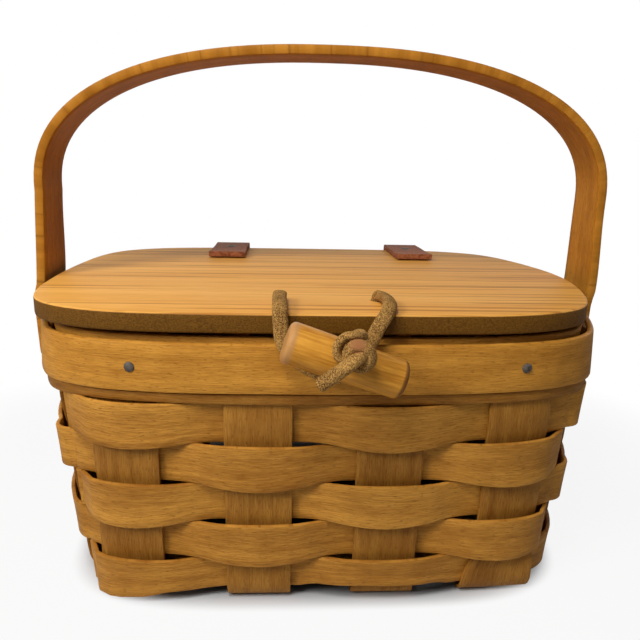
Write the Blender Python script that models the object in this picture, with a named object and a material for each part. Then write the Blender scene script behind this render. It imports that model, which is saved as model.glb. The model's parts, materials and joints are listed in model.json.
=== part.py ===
"""A small lidded basket of woven wooden splints: a tapered body on seven U-shaped uprights, five
weavers, a two-part rim, a bent fixed handle, a board lid on two leather straps, and a wooden
toggle with a leather loop. Metres, +Z up, the origin in the middle of the base's underside,
-Y to the front."""

import functools
import math

import bmesh
import bpy
from mathutils import Vector

MM = 0.001
GAP = 0.3 * MM  # between pieces that touch
CUT_OVERRUN = 3.0 * MM  # how far a cutter runs past what it cuts

# A quarter of the body's plan at the middle surface of the uprights, at the floor and at the rim,
# from the middle of a long side to the middle of an end, in millimetres.
RIM_LEVEL = 104.4 * MM
BASE_PLAN = (
    (0, 70.6),
    (40, 70.3),
    (62, 69.4),
    (76, 67.3),
    (83, 63.9),
    (87.5, 58.8),
    (91.3, 51.5),
    (94.8, 40),
    (96.9, 26),
    (97.9, 12),
    (98, 0),
)
RIM_PLAN = (
    (0, 76.7),
    (40, 75.9),
    (62, 73.6),
    (79, 69.9),
    (90.5, 64.2),
    (96.9, 58.1),
    (100.7, 51.5),
    (105.2, 40),
    (109.6, 25),
    (112.6, 11),
    (113.6, 0),
)

# Splints.
SPLINT_THICKNESS = 1.5 * MM
UPRIGHT_WIDTH = 24.0 * MM
CROSS_PITCH = 47.2 * MM
CROSS_COUNT = 4
LONG_PITCH = 38.0 * MM
LONG_COUNT = 3
UPRIGHT_TOP_DROP = 0.8 * MM
UPRIGHT_TOP = RIM_LEVEL - UPRIGHT_TOP_DROP
FOOT_BEND = 3.0 * MM  # radius of an upright's middle surface where it leaves the base
CROSSING_MARGIN = 0.6 * MM  # flat length past each crossing in the base

# Outer rim band, and the thin trim under it.
OUTER_BAND_WIDTH = 18.0 * MM
OUTER_BAND_BOTTOM = RIM_LEVEL - OUTER_BAND_WIDTH
OUTER_BAND_THICKNESS = 2.4 * MM
OUTER_BAND_ROUND = 0.6 * MM
TRIM_WIDTH = 3.7 * MM
TRIM_TOP = OUTER_BAND_BOTTOM - GAP
TRIM_BOTTOM = TRIM_TOP - TRIM_WIDTH
TRIM_THICKNESS = 1.2 * MM

# Weavers, which share out the wall between the base and the trim.
WEAVER_COUNT = 5
FIRST_WEAVER_BOTTOM = 3.4 * MM
ROW_GAP = 0.4 * MM
WEAVER_PITCH = (TRIM_BOTTOM - FIRST_WEAVER_BOTTOM) / WEAVER_COUNT
WEAVER_WIDTH = WEAVER_PITCH - ROW_GAP
WEAVER_DIP = 2.2 * MM  # how far the lower edge drops where a weaver passes outside
DIP_FROM_SHARE = 0.75  # of the lift, where that drop begins
WEAVER_CLEARANCE = 0.35 * MM
WEAVER_LIFT = SPLINT_THICKNESS + WEAVER_CLEARANCE
CORNER_PUFF = 1.5 * MM  # how far a weaver stands off at a corner

# Handle: one bent strip, with its legs nailed on the outer band over the middle uprights.
HANDLE_WIDTH = 23.4 * MM
HANDLE_THICKNESS = 3.8 * MM
HANDLE_ROUND = 0.6 * MM
HANDLE_Y = -2.0 * MM
HANDLE_LEAN = math.radians(2.6)  # forward
HANDLE_FOOT_DROP = 24.4 * MM
HANDLE_FOOT = RIM_LEVEL - HANDLE_FOOT_DROP
ARCH_STAND = 44.8 * MM  # from the rim to where the arch begins
ARCH_LEVEL = RIM_LEVEL + ARCH_STAND
ARCH_HALF_WIDTH = 118.7 * MM
ARCH_RISE = 58.5 * MM
ARCH_SHIFT = 2.3 * MM  # to the right
ARCH_EXPONENT = 2.365

# Lid: quarters of its plan from its middle, as for the body, and alike front and back.
LID_STAND = 3.3 * MM  # its underside over the outer band's top
LID_UNDERSIDE = RIM_LEVEL + LID_STAND
LID_THICKNESS = 7.0 * MM
LID_TOP = LID_UNDERSIDE + LID_THICKNESS
LID_ROUND = 0.8 * MM
LID_Y = 1.2 * MM
LID_LEFT_PLAN = (
    (0, 79.3),
    (45, 78.8),
    (68, 76.9),
    (83, 73.2),
    (94.3, 67.0),
    (101.3, 59.5),
    (105.8, 50.4),
    (109.0, 37.4),
    (110.8, 24),
    (111.7, 10),
    (111.8, 0),
)
LID_RIGHT_PLAN = (
    (0, 79.3),
    (45, 78.8),
    (67, 76.6),
    (82, 71.9),
    (92.5, 65.0),
    (98.6, 56.6),
    (102.6, 47.4),
    (106.6, 34.5),
    (109.6, 21),
    (111.3, 9),
    (111.6, 0),
)
LID_HALF_DEPTH = LID_LEFT_PLAN[0][1] * MM

# Inner rim band, which carries the lid.
INNER_BAND_TOP = LID_UNDERSIDE - GAP
INNER_BAND_WIDTH = 19.9 * MM
INNER_BAND_BOTTOM = INNER_BAND_TOP - INNER_BAND_WIDTH
INNER_BAND_THICKNESS = 2.2 * MM
INNER_BAND_CLEARANCE = 0.5 * MM  # from the uprights

# Leather hinge straps: place and the sideways shift of the front end.
STRAP_WIDTH = 18.0 * MM
STRAP_THICKNESS = 2.6 * MM
STRAP_LENGTH_ON_LID = 40.0 * MM
STRAP_DROP = 25.0 * MM  # below the lid's top
STRAP_PLACES = {"left": (-44.6 * MM, 0), "right": (51.0 * MM, 0.9 * MM)}
LID_TACK_SHARE = 0.62  # of the strap's length on the lid, from its front end

# Nails and tacks.
NAIL_HEAD = 1.85 * MM  # radius
NAIL_HEAD_HEIGHT = 0.8 * MM
NAIL_SHANK = 0.8 * MM
NAIL_CROWN_SHARE = 0.6  # of the head's radius, the flat in its middle
NAIL_PLACES = {"left": -66.2 * MM, "right": 69.3 * MM}
NAIL_LEVEL = (OUTER_BAND_BOTTOM + RIM_LEVEL) / 2
TACK_HEAD = 2.4 * MM
TACK_DEPTH_IN_LID = 5.0 * MM
NAIL_SIDES = 10

# Toggle and laces.
TOGGLE_RADIUS = 6.3 * MM
TOGGLE_LENGTH = 40.9 * MM
TOGGLE_CHAMFER = 1.9 * MM
TOGGLE_FACET_SHARE = 0.33  # of the chamfer, its first facet
TOGGLE_TILT = math.radians(18.7)  # right end down
TOGGLE_PLACE = (4.3 * MM, -94.7 * MM, 103.9 * MM)
TOGGLE_SIDES = 20
LACE = 2.1 * MM  # radius of the leather lace
LACE_THIN = 1.2 * MM  # half the lace's thickness where it is pulled tight round the toggle
LACE_CLEARANCE = 0.6 * MM  # round the lace in its holes
KNOT = 4.6 * MM  # radius of the knot on the toggle
END_KNOT = 3.8 * MM  # radius of a knot behind a hole
KNOT_RISE = math.radians(35)  # round the toggle, up from its front
STEM_X = 5.0 * MM
STEM_LEVEL = 97.2 * MM
LOOP_ROUTE = (  # millimetres
    (-16.6, -56.6, 107.0),
    (-16.6, -56.6, 111.0),
    (-16.6, -56.6, 114.6),
    (-16.6, -57.3, 116.6),
    (-16.5, -59.4, 117.5),
    (-16.4, -64.0, 117.5),
    (-16.2, -70.0, 117.4),
    (-16.1, -75.2, 117.4),
    (-16.0, -78.6, 117.0),
    (-15.9, -80.6, 115.2),
    (-15.8, -81.3, 112.0),
    (-15.6, -82.6, 107.6),
    (-14.4, -83.0, 102.1),
    (-10.8, -83.0, 97.6),
    (-6.0, -83.0, 94.4),
    (-1.2, -83.0, 92.6),
    (3.6, -83.0, 92.2),
    (8.0, -83.0, 93.9),
    (10.7, -83.0, 97.8),
    (11.7, -83.0, 102.4),
    (13.0, -82.6, 107.6),
    (15.0, -81.3, 112.0),
    (17.4, -80.6, 115.2),
    (19.2, -78.6, 117.0),
    (20.5, -75.2, 117.4),
    (20.8, -70.0, 117.4),
    (20.3, -64.0, 117.5),
    (19.3, -56.9, 117.5),
    (18.8, -54.7, 116.6),
    (18.7, -54.0, 114.6),
    (18.7, -54.0, 111.0),
    (18.7, -54.0, 107.0),
)
STEM_ROUTE = (  # millimetres
    (5.0, -73.0, 97.2),
    (5.0, -76.5, 97.2),
    (5.0, -79.8, 97.2),
    (5.0, -82.0, 97.9),
    (4.8, -83.0, 100.2),
    (4.5, -83.1, 103.8),
)
TAIL_ROUTE = (  # millimetres, from the knot to the lace's cut end
    (7.0, -104.0, 109.0),
    (3.6, -105.4, 106.2),
    (-0.4, -105.2, 102.4),
    (-4.6, -104.0, 98.2),
)


def clear_scene():
    for obj in list(bpy.data.objects):
        bpy.data.objects.remove(obj, do_unlink=True)


def material(name, colour, roughness, metallic=0.0):
    mat = bpy.data.materials.new(name)
    mat.use_nodes = True
    shader = mat.node_tree.nodes["Principled BSDF"]
    shader.inputs["Base Color"].default_value = (*colour, 1.0)
    shader.inputs["Roughness"].default_value = roughness
    shader.inputs["Metallic"].default_value = metallic
    return mat


def add_object(name, mesh, mat):
    obj = bpy.data.objects.new(name, mesh)
    if mat:
        mesh.materials.append(mat)
    bpy.context.scene.collection.objects.link(obj)
    return obj


def loft(name, rings, mat, closed=False, smooth=False):
    """A solid through rings of points. A closed loft joins its last ring to its first; an open one
    has a flat cap at each end."""
    bm = bmesh.new()
    loops = [[bm.verts.new(point) for point in ring] for ring in rings]
    pairs = list(zip(loops, loops[1:] + loops[:1])) if closed else list(zip(loops, loops[1:]))
    for first, second in pairs:
        for k in range(len(first)):
            after = (k + 1) % len(first)
            bm.faces.new((first[k], first[after], second[after], second[k]))
    if not closed:
        bm.faces.new(loops[0][::-1])
        bm.faces.new(loops[-1])
    bmesh.ops.recalc_face_normals(bm, faces=bm.faces)
    mesh = bpy.data.meshes.new(name)
    bm.to_mesh(mesh)
    bm.free()
    if smooth:
        mesh.shade_smooth()
        mesh.set_sharp_from_angle(angle=math.radians(35))
    return add_object(name, mesh, mat)


def curve_point(points, turn):
    """A point on a smooth quarter of a plan, and its outward direction. turn counts the points."""
    k = min(int(turn), len(points) - 2)
    t = turn - k
    before = points[k - 1] if k else (-points[1][0], points[1][1])
    after = points[k + 2] if k + 2 < len(points) else (points[-2][0], -points[-2][1])
    four = (before, points[k], points[k + 1], after)
    weights = (
        (2 * t**2 - t - t**3) / 2,
        (2 - 5 * t**2 + 3 * t**3) / 2,
        (t + 4 * t**2 - 3 * t**3) / 2,
        (t**3 - t**2) / 2,
    )
    slopes = (
        (4 * t - 1 - 3 * t**2) / 2,
        (9 * t**2 - 10 * t) / 2,
        (1 + 8 * t - 9 * t**2) / 2,
        (3 * t**2 - 2 * t) / 2,
    )
    x, y = (sum(w * p[axis] for w, p in zip(weights, four)) for axis in (0, 1))
    along_x, along_y = (sum(w * p[axis] for w, p in zip(slopes, four)) for axis in (0, 1))
    length = math.hypot(along_x, along_y)
    return (x * MM, y * MM), (-along_y / length, along_x / length)


def body_plan(level):
    share = level / RIM_LEVEL
    return [
        tuple(low + (high - low) * share for low, high in zip(*pair))
        for pair in zip(BASE_PLAN, RIM_PLAN)
    ]


HALVINGS = 30


def find_turn(points, axis, value):
    """Where a quarter of a plan reaches a value of x (axis 0) or of y (axis 1)."""
    low, high = 0, len(points) - 1
    for _ in range(HALVINGS):
        middle = (low + high) / 2
        past = curve_point(points, middle)[0][axis] > value
        if past == (axis == 0):
            high = middle
        else:
            low = middle
    return (low + high) / 2


@functools.lru_cache(maxsize=None)
def plan_place(place, level):
    """The plan's point and outward direction, in its first quarter, of a place given by x on a
    long side, by y on an end, or by a share of the corner between the two."""
    points = body_plan(level)
    kind, value = place
    if kind == "corner":
        side = find_turn(points, 0, (CROSS_COUNT - 1) / 2 * CROSS_PITCH + UPRIGHT_WIDTH / 2)
        end = find_turn(points, 1, (LONG_COUNT - 1) / 2 * LONG_PITCH + UPRIGHT_WIDTH / 2)
        return curve_point(points, side + (end - side) * value)
    return curve_point(points, find_turn(points, 0 if kind == "side" else 1, value))


def wall_frame(place, signs, level):
    """The point of the body's middle surface at a place and height, and its outward direction."""
    (x, y), (out_x, out_y) = plan_place(place, level)
    return (
        Vector((signs[0] * x, signs[1] * y, level)),
        Vector((signs[0] * out_x, signs[1] * out_y, 0)),
    )


def wall_point(place, signs, level, offset=0):
    point, outward = wall_frame(place, signs, level)
    return point + outward * offset


def upright_centres(count, pitch):
    return [(k - (count - 1) / 2) * pitch for k in range(count)]


def signed(value):
    return (abs(value), 1 if value >= 0 else -1)


GAP_STEPS = 4  # stations between two uprights on one side of the body
CORNER_STEPS = 8


def ring_places():
    """Every place round the body as (place, signs, upright number, share of the way to the next
    upright), from the front's left end and on by the right."""
    cross, long = (
        upright_centres(CROSS_COUNT, CROSS_PITCH),
        upright_centres(LONG_COUNT, LONG_PITCH),
    )
    sides = (
        ("side", cross, 1, -1),
        ("end", long, 1, 1),
        ("side", cross[::-1], -1, 1),
        ("end", long[::-1], -1, -1),
    )
    places, number = [], 0
    for kind, centres, direction, fixed in sides:

        def spot(value):
            size, sign = signed(value)
            return ((kind, size), (sign, fixed) if kind == "side" else (fixed, sign))

        for k, centre in enumerate(centres):
            for across in (-1, 0, 1):
                at = centre + direction * across * UPRIGHT_WIDTH / 2
                places.append((*spot(at), number, 0.0))
            if k + 1 < len(centres):
                start = centre + direction * UPRIGHT_WIDTH / 2
                free = abs(centres[k + 1] - centre) - UPRIGHT_WIDTH
                for step in range(1, GAP_STEPS):
                    share = step / GAP_STEPS
                    places.append((*spot(start + direction * free * share), number, share))
            number += 1
        for step in range(1, CORNER_STEPS):
            share = step / CORNER_STEPS
            signs = corner_signs(kind, direction, fixed)
            along = share if kind == "side" else 1 - share
            places.append((("corner", along), signs, number - 1, share))
    return places


def corner_signs(kind, direction, fixed):
    """The quadrant of the corner that follows a side or an end."""
    return (direction, fixed) if kind == "side" else (fixed, direction)


def weave_phase(number, share, row):
    """1 where a weaver passes outside an upright, -1 inside, and between them in the gaps."""
    here = 1 if (number + row) % 2 else -1
    return here * math.cos(math.pi * share)


def ring_section(place, signs, low, high, inner, outer):
    return [
        wall_point(place, signs, low, outer),
        wall_point(place, signs, high, outer),
        wall_point(place, signs, high, inner),
        wall_point(place, signs, low, inner),
    ]


def make_weaver(row, mat):
    low = FIRST_WEAVER_BOTTOM + (row - 1) * WEAVER_PITCH
    high = low + WEAVER_WIDTH
    rings = []
    for place, signs, number, share in ring_places():
        phase = weave_phase(number, share, row)
        out = max(0, phase - DIP_FROM_SHARE) / (1 - DIP_FROM_SHARE)
        dip = WEAVER_DIP * out * out * (3 - 2 * out)
        middle = WEAVER_LIFT * phase
        if place[0] == "corner":
            middle += CORNER_PUFF * math.sin(math.pi * share) ** 2
        rings.append(
            ring_section(
                place,
                signs,
                low - dip,
                high,
                middle - SPLINT_THICKNESS / 2,
                middle + SPLINT_THICKNESS / 2,
            )
        )
    return loft(f"weaver_{row}", rings, mat, closed=True)


def plain_places():
    """Fewer places, for a ring that isn't woven: all of each upright's, and every second other."""
    return [entry for k, entry in enumerate(ring_places()) if entry[3] == 0 or k % 2]


def make_trim(mat):
    inner = SPLINT_THICKNESS / 2 + GAP
    rings = [
        ring_section(place, signs, TRIM_BOTTOM, TRIM_TOP, inner, inner + TRIM_THICKNESS)
        for place, signs, _, _ in plain_places()
    ]
    return loft("trim_splint", rings, mat, closed=True)


def make_inner_band(mat):
    outer = -SPLINT_THICKNESS / 2 - INNER_BAND_CLEARANCE
    inner = outer - INNER_BAND_THICKNESS
    rings = [
        ring_section(place, signs, INNER_BAND_BOTTOM, INNER_BAND_TOP, inner, outer)
        for place, signs, _, _ in plain_places()
    ]
    return loft("inner_rim_band", rings, mat, closed=True)


def make_outer_band(mat):
    rings = []
    for place, signs, _, _ in ring_places():
        inner = SPLINT_THICKNESS / 2 + GAP
        outer = inner + OUTER_BAND_THICKNESS
        low, high, edge = OUTER_BAND_BOTTOM, RIM_LEVEL, OUTER_BAND_ROUND
        corners = (
            (low + edge, outer),
            (high - edge, outer),
            (high, outer - edge),
            (high, inner),
            (low, inner),
            (low, outer - edge),
        )
        rings.append([wall_point(place, signs, level, offset) for level, offset in corners])
    return loft("outer_rim_band", rings, mat, closed=True, smooth=True)


def base_height(along, crossings, upper):
    """Height of a base strip's middle surface: level over each crossing, with easy slopes between.
    Past the last crossing it comes down to the floor."""
    low = SPLINT_THICKNESS / 2
    high = low + SPLINT_THICKNESS + GAP
    heights = [high if is_upper else low for is_upper in upper]
    flat = UPRIGHT_WIDTH / 2 + CROSSING_MARGIN
    for k, centre in enumerate(crossings):
        if abs(along - centre) <= flat + GAP / 2:
            return heights[k]
        if k and crossings[k - 1] + flat < along < centre - flat:
            start, end = crossings[k - 1] + flat, centre - flat
            turn = math.pi * (along - start) / (end - start)
            return heights[k - 1] + (heights[k] - heights[k - 1]) * (1 - math.cos(turn)) / 2
    return low


BEND_STEPS = 3
WALL_STEPS = 6


def upright_stations(crossings):
    """Stations from the middle of the base to an upright's top, as ("base", along), ("bend",
    turn) and ("wall", level)."""
    flat = UPRIGHT_WIDTH / 2 + CROSSING_MARGIN
    alongs = {0}
    for before, centre in zip(crossings, crossings[1:]):
        alongs |= {before + flat, (before + centre) / 2, centre - flat}
    alongs.add(crossings[-1] + flat)
    stations = [("base", along) for along in sorted(a for a in alongs if a >= 0)]
    stations += [
        ("bend", math.pi / 2 * (1 - step / BEND_STEPS)) for step in range(BEND_STEPS)
    ]
    foot = FOOT_BEND + SPLINT_THICKNESS / 2
    stations += [
        ("wall", foot + (UPRIGHT_TOP - foot) * step / WALL_STEPS)
        for step in range(WALL_STEPS + 1)
    ]
    return stations


def upright_points(kind, across, end, station, height):
    """Outer and inner surface points of an upright at one station. across is the fixed
    coordinate, and end is the sign of the wall that this half climbs."""
    size, sign = signed(across)
    place = ("side", size) if kind == "cross" else ("end", size)
    signs = (sign, end) if kind == "cross" else (end, sign)
    step, value = station
    half = SPLINT_THICKNESS / 2
    if step == "wall":
        return [wall_point(place, signs, value, offset) for offset in (half, -half)]
    if step == "bend":
        foot = FOOT_BEND + half
        point, outward = wall_frame(place, signs, foot)
        centre = point - outward * FOOT_BEND
        spoke = outward * math.cos(value) - Vector((0, 0, math.sin(value)))
        return [centre + spoke * (FOOT_BEND + offset) for offset in (half, -half)]
    along = end * value
    x, y = (across, along) if kind == "cross" else (along, across)
    level = height(along)
    return [Vector((x, y, level - half)), Vector((x, y, level + half))]


def make_upright(kind, number, mat):
    """A flat splint that climbs one wall, crosses the base and climbs the other wall."""
    cross = upright_centres(CROSS_COUNT, CROSS_PITCH)
    long = upright_centres(LONG_COUNT, LONG_PITCH)
    centre = (cross if kind == "cross" else long)[number - 1]
    crossings = long if kind == "cross" else cross
    odd = 1 if kind == "cross" else 0
    upper = [(number + k + 1) % 2 == odd for k in range(len(crossings))]

    def height(along):
        return base_height(along, crossings, upper)

    stations = upright_stations(crossings)
    both = [(-1, s) for s in stations[:0:-1]] + [(1, s) for s in stations]
    widths = [centre + side * UPRIGHT_WIDTH / 2 for side in (-1, 0, 1)]
    rings = []
    for end, station in both:
        pairs = [upright_points(kind, w, end, station, height) for w in widths]
        rings.append([outer for outer, _ in pairs] + [inner for _, inner in pairs[::-1]])
    return loft(f"{kind}_stake_{number}", rings, mat)


def leg_middle(level):
    """x of a handle leg's middle surface below the arch, on the right."""
    seat = wall_point(("end", 0), (1, 1), min(level, RIM_LEVEL)).x
    seat += SPLINT_THICKNESS / 2 + GAP + OUTER_BAND_THICKNESS + GAP + HANDLE_THICKNESS / 2
    if level <= RIM_LEVEL:
        return seat
    share = (level - RIM_LEVEL) / (ARCH_LEVEL - RIM_LEVEL)
    return seat + (ARCH_HALF_WIDTH - HANDLE_THICKNESS / 2 - seat) * share


LEG_STEPS = 5
FOOT_STEPS = 2
ARCH_STEPS = 28


def handle_path():
    """Points (x, z) along the strip's middle, from the right foot over the arch to the left."""
    leg = [
        HANDLE_FOOT + (RIM_LEVEL - HANDLE_FOOT) * step / FOOT_STEPS for step in range(FOOT_STEPS)
    ]
    leg += [RIM_LEVEL + (ARCH_LEVEL - RIM_LEVEL) * step / LEG_STEPS for step in range(LEG_STEPS)]
    right = [(leg_middle(level), level) for level in leg]
    half, rise = ARCH_HALF_WIDTH - HANDLE_THICKNESS / 2, ARCH_RISE - HANDLE_THICKNESS / 2
    arch = []
    for step in range(ARCH_STEPS + 1):
        turn = math.pi * step / ARCH_STEPS
        across, up = math.cos(turn), math.sin(turn)
        x = math.copysign(abs(across) ** (2 / ARCH_EXPONENT), across) * half
        arch.append((x, ARCH_LEVEL + rise * max(0, up) ** (2 / ARCH_EXPONENT)))
    path = right + arch + [(-x, z) for x, z in right[::-1]]
    return [(x + ARCH_SHIFT * arch_share(z), z) for x, z in path]


def arch_share(level):
    """How much of the arch's sideways shift there is at a height: none at the rim."""
    return min(1, max(0, level - RIM_LEVEL) / (ARCH_LEVEL - RIM_LEVEL))


def handle_y(level):
    return HANDLE_Y - math.tan(HANDLE_LEAN) * (level - RIM_LEVEL)


def make_handle(mat):
    path = handle_path()
    half_width, half, edge = HANDLE_WIDTH / 2, HANDLE_THICKNESS / 2, HANDLE_ROUND
    corners = (
        (-half_width, half - edge),
        (-half_width + edge, half),
        (half_width - edge, half),
        (half_width, half - edge),
        (half_width, -half + edge),
        (half_width - edge, -half),
        (-half_width + edge, -half),
        (-half_width, -half + edge),
    )
    rings = []
    for k, (x, z) in enumerate(path):
        before, after = path[max(0, k - 1)], path[min(len(path) - 1, k + 1)]
        along = Vector((after[0] - before[0], after[1] - before[1])).normalized()
        out = Vector((along.y, -along.x))
        rings.append(
            [
                (x + out.x * off, handle_y(z + out.y * off) + across, z + out.y * off)
                for across, off in corners
            ]
        )
    return loft("handle", rings, mat, smooth=True)


LID_STEPS = 20  # in each quarter


def lid_outline(inset):
    """The lid's plan from its left end round by the front, moved in by an inset."""
    quarters = (
        (LID_LEFT_PLAN, (-1, -1), True),
        (LID_RIGHT_PLAN, (1, -1), False),
        (LID_RIGHT_PLAN, (1, 1), True),
        (LID_LEFT_PLAN, (-1, 1), False),
    )
    outline = []
    for points, (sign_x, sign_y), backwards in quarters:
        for step in range(LID_STEPS):
            share = step / LID_STEPS
            turn = (len(points) - 1) * (1 - share if backwards else share)
            (x, y), (out_x, out_y) = curve_point(points, turn)
            outline.append((sign_x * (x - out_x * inset), sign_y * (y - out_y * inset)))
    return outline


def make_lid(mat):
    levels = (
        (LID_ROUND, LID_UNDERSIDE),
        (0, LID_UNDERSIDE + LID_ROUND),
        (0, LID_TOP - LID_ROUND),
        (LID_ROUND, LID_TOP),
    )
    rings = [
        [(x, y + LID_Y, level) for x, y in lid_outline(inset)] for inset, level in levels
    ]
    return loft("lid", rings, mat, smooth=True)


def lid_back():
    return LID_Y + LID_HALF_DEPTH


STRAP_BEND_STEPS = 4


def strap_path():
    """Points (y, z) on the strap's inner face and its outward directions, from the front end."""
    back, top = lid_back() + GAP, LID_TOP + GAP
    start = lid_back() - STRAP_LENGTH_ON_LID
    path = [((start, top), (0, 1)), (((start + back) / 2, top), (0, 1))]
    for step in range(STRAP_BEND_STEPS + 1):
        turn = math.pi / 2 * step / STRAP_BEND_STEPS
        out = (math.sin(turn), math.cos(turn))
        path.append(((back, top), out))
    path.append(((back, LID_TOP - STRAP_DROP), (1, 0)))
    return path


def make_strap(side, mat):
    centre, shift = STRAP_PLACES[side]
    rings = []
    start = lid_back() - STRAP_LENGTH_ON_LID
    for (y, z), (out_y, out_z) in strap_path():
        middle = centre + shift * max(0, (lid_back() - y) / (lid_back() - start))
        depth = STRAP_THICKNESS
        inner = [(middle + w * STRAP_WIDTH / 2, y, z) for w in (-1, 1)]
        outer = [
            (middle + w * STRAP_WIDTH / 2, y + out_y * depth, z + out_z * depth)
            for w in (1, -1)
        ]
        rings.append(inner + outer)
    # The bend's inner face is one edge, so its repeated points are made one.
    obj = loft(f"hinge_strap_{side}", rings, mat)
    bm = bmesh.new()
    bm.from_mesh(obj.data)
    bmesh.ops.remove_doubles(bm, verts=bm.verts, dist=GAP / 10)
    bmesh.ops.recalc_face_normals(bm, faces=bm.faces)
    bm.to_mesh(obj.data)
    bm.free()
    return obj


def turned(name, profile, place, direction, sides, mat):
    """A solid turned about an axis. profile lists (radius, distance along the axis)."""
    turn = Vector((0, 0, 1)).rotation_difference(direction).to_matrix()
    rings = []
    for radius, along in profile:
        ring = []
        for k in range(sides):
            angle = 2 * math.pi * k / sides
            spoke = Vector((radius * math.cos(angle), radius * math.sin(angle), along))
            ring.append(place + turn @ spoke)
        rings.append(ring)
    return loft(name, rings, mat, smooth=True)


def nail(name, surface, direction, head, depth, mat):
    """A nail whose head sits on a surface point and whose shank runs back along -direction."""
    profile = (
        (NAIL_SHANK, -depth),
        (NAIL_SHANK, GAP),
        (head, GAP),
        (head, GAP + NAIL_HEAD_HEIGHT / 2),
        (head * NAIL_CROWN_SHARE, GAP + NAIL_HEAD_HEIGHT),
    )
    return turned(name, profile, surface, direction, NAIL_SIDES, mat)


def hole(name, surface, direction, radius, depth, over):
    """A cutter for a hole: over is how far it runs out past the surface point."""
    cutter = turned(name, ((radius, -depth), (radius, over)), surface, direction, NAIL_SIDES, None)
    cutter.hide_render = True
    cutter.display_type = "WIRE"
    return cutter


def wall_normal(place, signs, level):
    """The outward direction of the sloping wall."""
    point, outward = wall_frame(place, signs, level)
    low = wall_point(place, signs, level - WEAVER_PITCH)
    rise = Vector((0, 0, WEAVER_PITCH)) + (point - low - Vector((0, 0, WEAVER_PITCH)))
    return (outward - rise * (outward.dot(rise) / rise.length_squared)).normalized()


def band_depth():
    """From the outer band's face in to just short of the inner band's inner face."""
    clear = GAP + INNER_BAND_CLEARANCE
    return OUTER_BAND_THICKNESS + SPLINT_THICKNESS + clear + INNER_BAND_THICKNESS - GAP


def rim_fastenings():
    """Every nail and tack in the rim: name, surface point, direction, head radius and depth."""
    found = []
    face = SPLINT_THICKNESS / 2 + GAP + OUTER_BAND_THICKNESS
    for end, word in ((-1, "front"), (1, "back")):
        for hand, x in NAIL_PLACES.items():
            size, sign = signed(x)
            place, signs = ("side", size), (sign, end)
            point = wall_point(place, signs, NAIL_LEVEL, face)
            direction = wall_normal(place, signs, NAIL_LEVEL)
            found.append((f"band_nail_{word}_{hand}", point, direction, NAIL_HEAD, band_depth()))
    for sign, hand in ((-1, "left"), (1, "right")):
        leg = HANDLE_THICKNESS + GAP
        point = Vector((sign * (leg_middle(NAIL_LEVEL) + HANDLE_THICKNESS / 2), HANDLE_Y, NAIL_LEVEL))
        direction = wall_normal(("end", 0), (sign, -1), NAIL_LEVEL)
        found.append((f"handle_nail_{hand}", point, direction, NAIL_HEAD, band_depth() + leg))
    for hand, (centre, _) in STRAP_PLACES.items():
        point = Vector((centre, lid_back() + GAP + STRAP_THICKNESS, NAIL_LEVEL))
        back = wall_point(("side", abs(centre)), (1, 1), NAIL_LEVEL, face)
        depth = point.y - back.y + band_depth()
        found.append((f"rim_tack_{hand}", point, Vector((0, 1, 0)), TACK_HEAD, depth))
    return found


def lid_fastenings():
    """The tack of each strap in the lid."""
    found = []
    for hand, (centre, shift) in STRAP_PLACES.items():
        y = lid_back() - STRAP_LENGTH_ON_LID * (1 - LID_TACK_SHARE)
        x = centre + shift * (1 - LID_TACK_SHARE)
        point = Vector((x, y, LID_TOP + GAP + STRAP_THICKNESS))
        depth = STRAP_THICKNESS + GAP + TACK_DEPTH_IN_LID
        found.append((f"lid_tack_{hand}", point, Vector((0, 0, 1)), TACK_HEAD, depth))
    return found


def cut(target, cutters):
    for cutter in cutters:
        modifier = target.modifiers.new(cutter.name, "BOOLEAN")
        modifier.operation = "DIFFERENCE"
        modifier.solver = "EXACT"
        modifier.object = cutter


def make_fastenings(mat, pieces):
    """Nails and tacks, and their holes in what they go through."""
    targets = {
        "band": ["outer_rim_band", "inner_rim_band"],
        "rim": ["outer_rim_band", "inner_rim_band"],
        "handle": ["outer_rim_band", "inner_rim_band", "handle", "long_stake_2"],
        "lid": ["lid"],
    }
    for name, point, direction, head, depth in rim_fastenings() + lid_fastenings():
        nail(name, point, direction, head, depth, mat)
        in_lid = name.startswith("lid")
        past = GAP if in_lid else CUT_OVERRUN
        cutter = hole(f"{name}_hole", point, direction, NAIL_SHANK + GAP, depth + past, GAP)
        for target in targets[name.split("_")[0]]:
            cut(pieces[target], [cutter])
        if name.startswith("band_nail"):
            number = 1 if name.endswith("left") else CROSS_COUNT
            cut(pieces[f"cross_stake_{number}"], [cutter])
        if "tack" in name:
            cut(pieces["hinge_strap_" + name.split("_")[-1]], [cutter])


def smooth_route(route, steps):
    """Points on a smooth curve through a route given in millimetres."""
    points = [Vector(p) * MM for p in route]
    points = [points[0] * 2 - points[1]] + points + [points[-1] * 2 - points[-2]]
    found = []
    for k in range(1, len(points) - 2):
        a, b, c, d = points[k - 1 : k + 3]
        for step in range(steps):
            t = step / steps
            found.append(
                (b * 2 + (c - a) * t + (a * 2 - b * 5 + c * 4 - d) * t**2
                 + (b * 3 - a - c * 3 + d) * t**3) / 2
            )
    return found + [points[-2]]


def lace(name, route, steps, mat):
    """A round lace along a route."""
    curve = bpy.data.curves.new(name, "CURVE")
    curve.dimensions = "3D"
    points = smooth_route(route, steps)
    spline = curve.splines.new("POLY")
    spline.points.add(len(points) - 1)
    for k, point in enumerate(points):
        spline.points[k].co = (*point, 1)
        spline.points[k].radius = 1
    curve.bevel_depth = LACE
    curve.bevel_resolution = 2
    curve.use_fill_caps = True
    curve.materials.append(mat)
    obj = bpy.data.objects.new(name, curve)
    bpy.context.scene.collection.objects.link(obj)
    return obj


BALL_RINGS = 6


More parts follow.
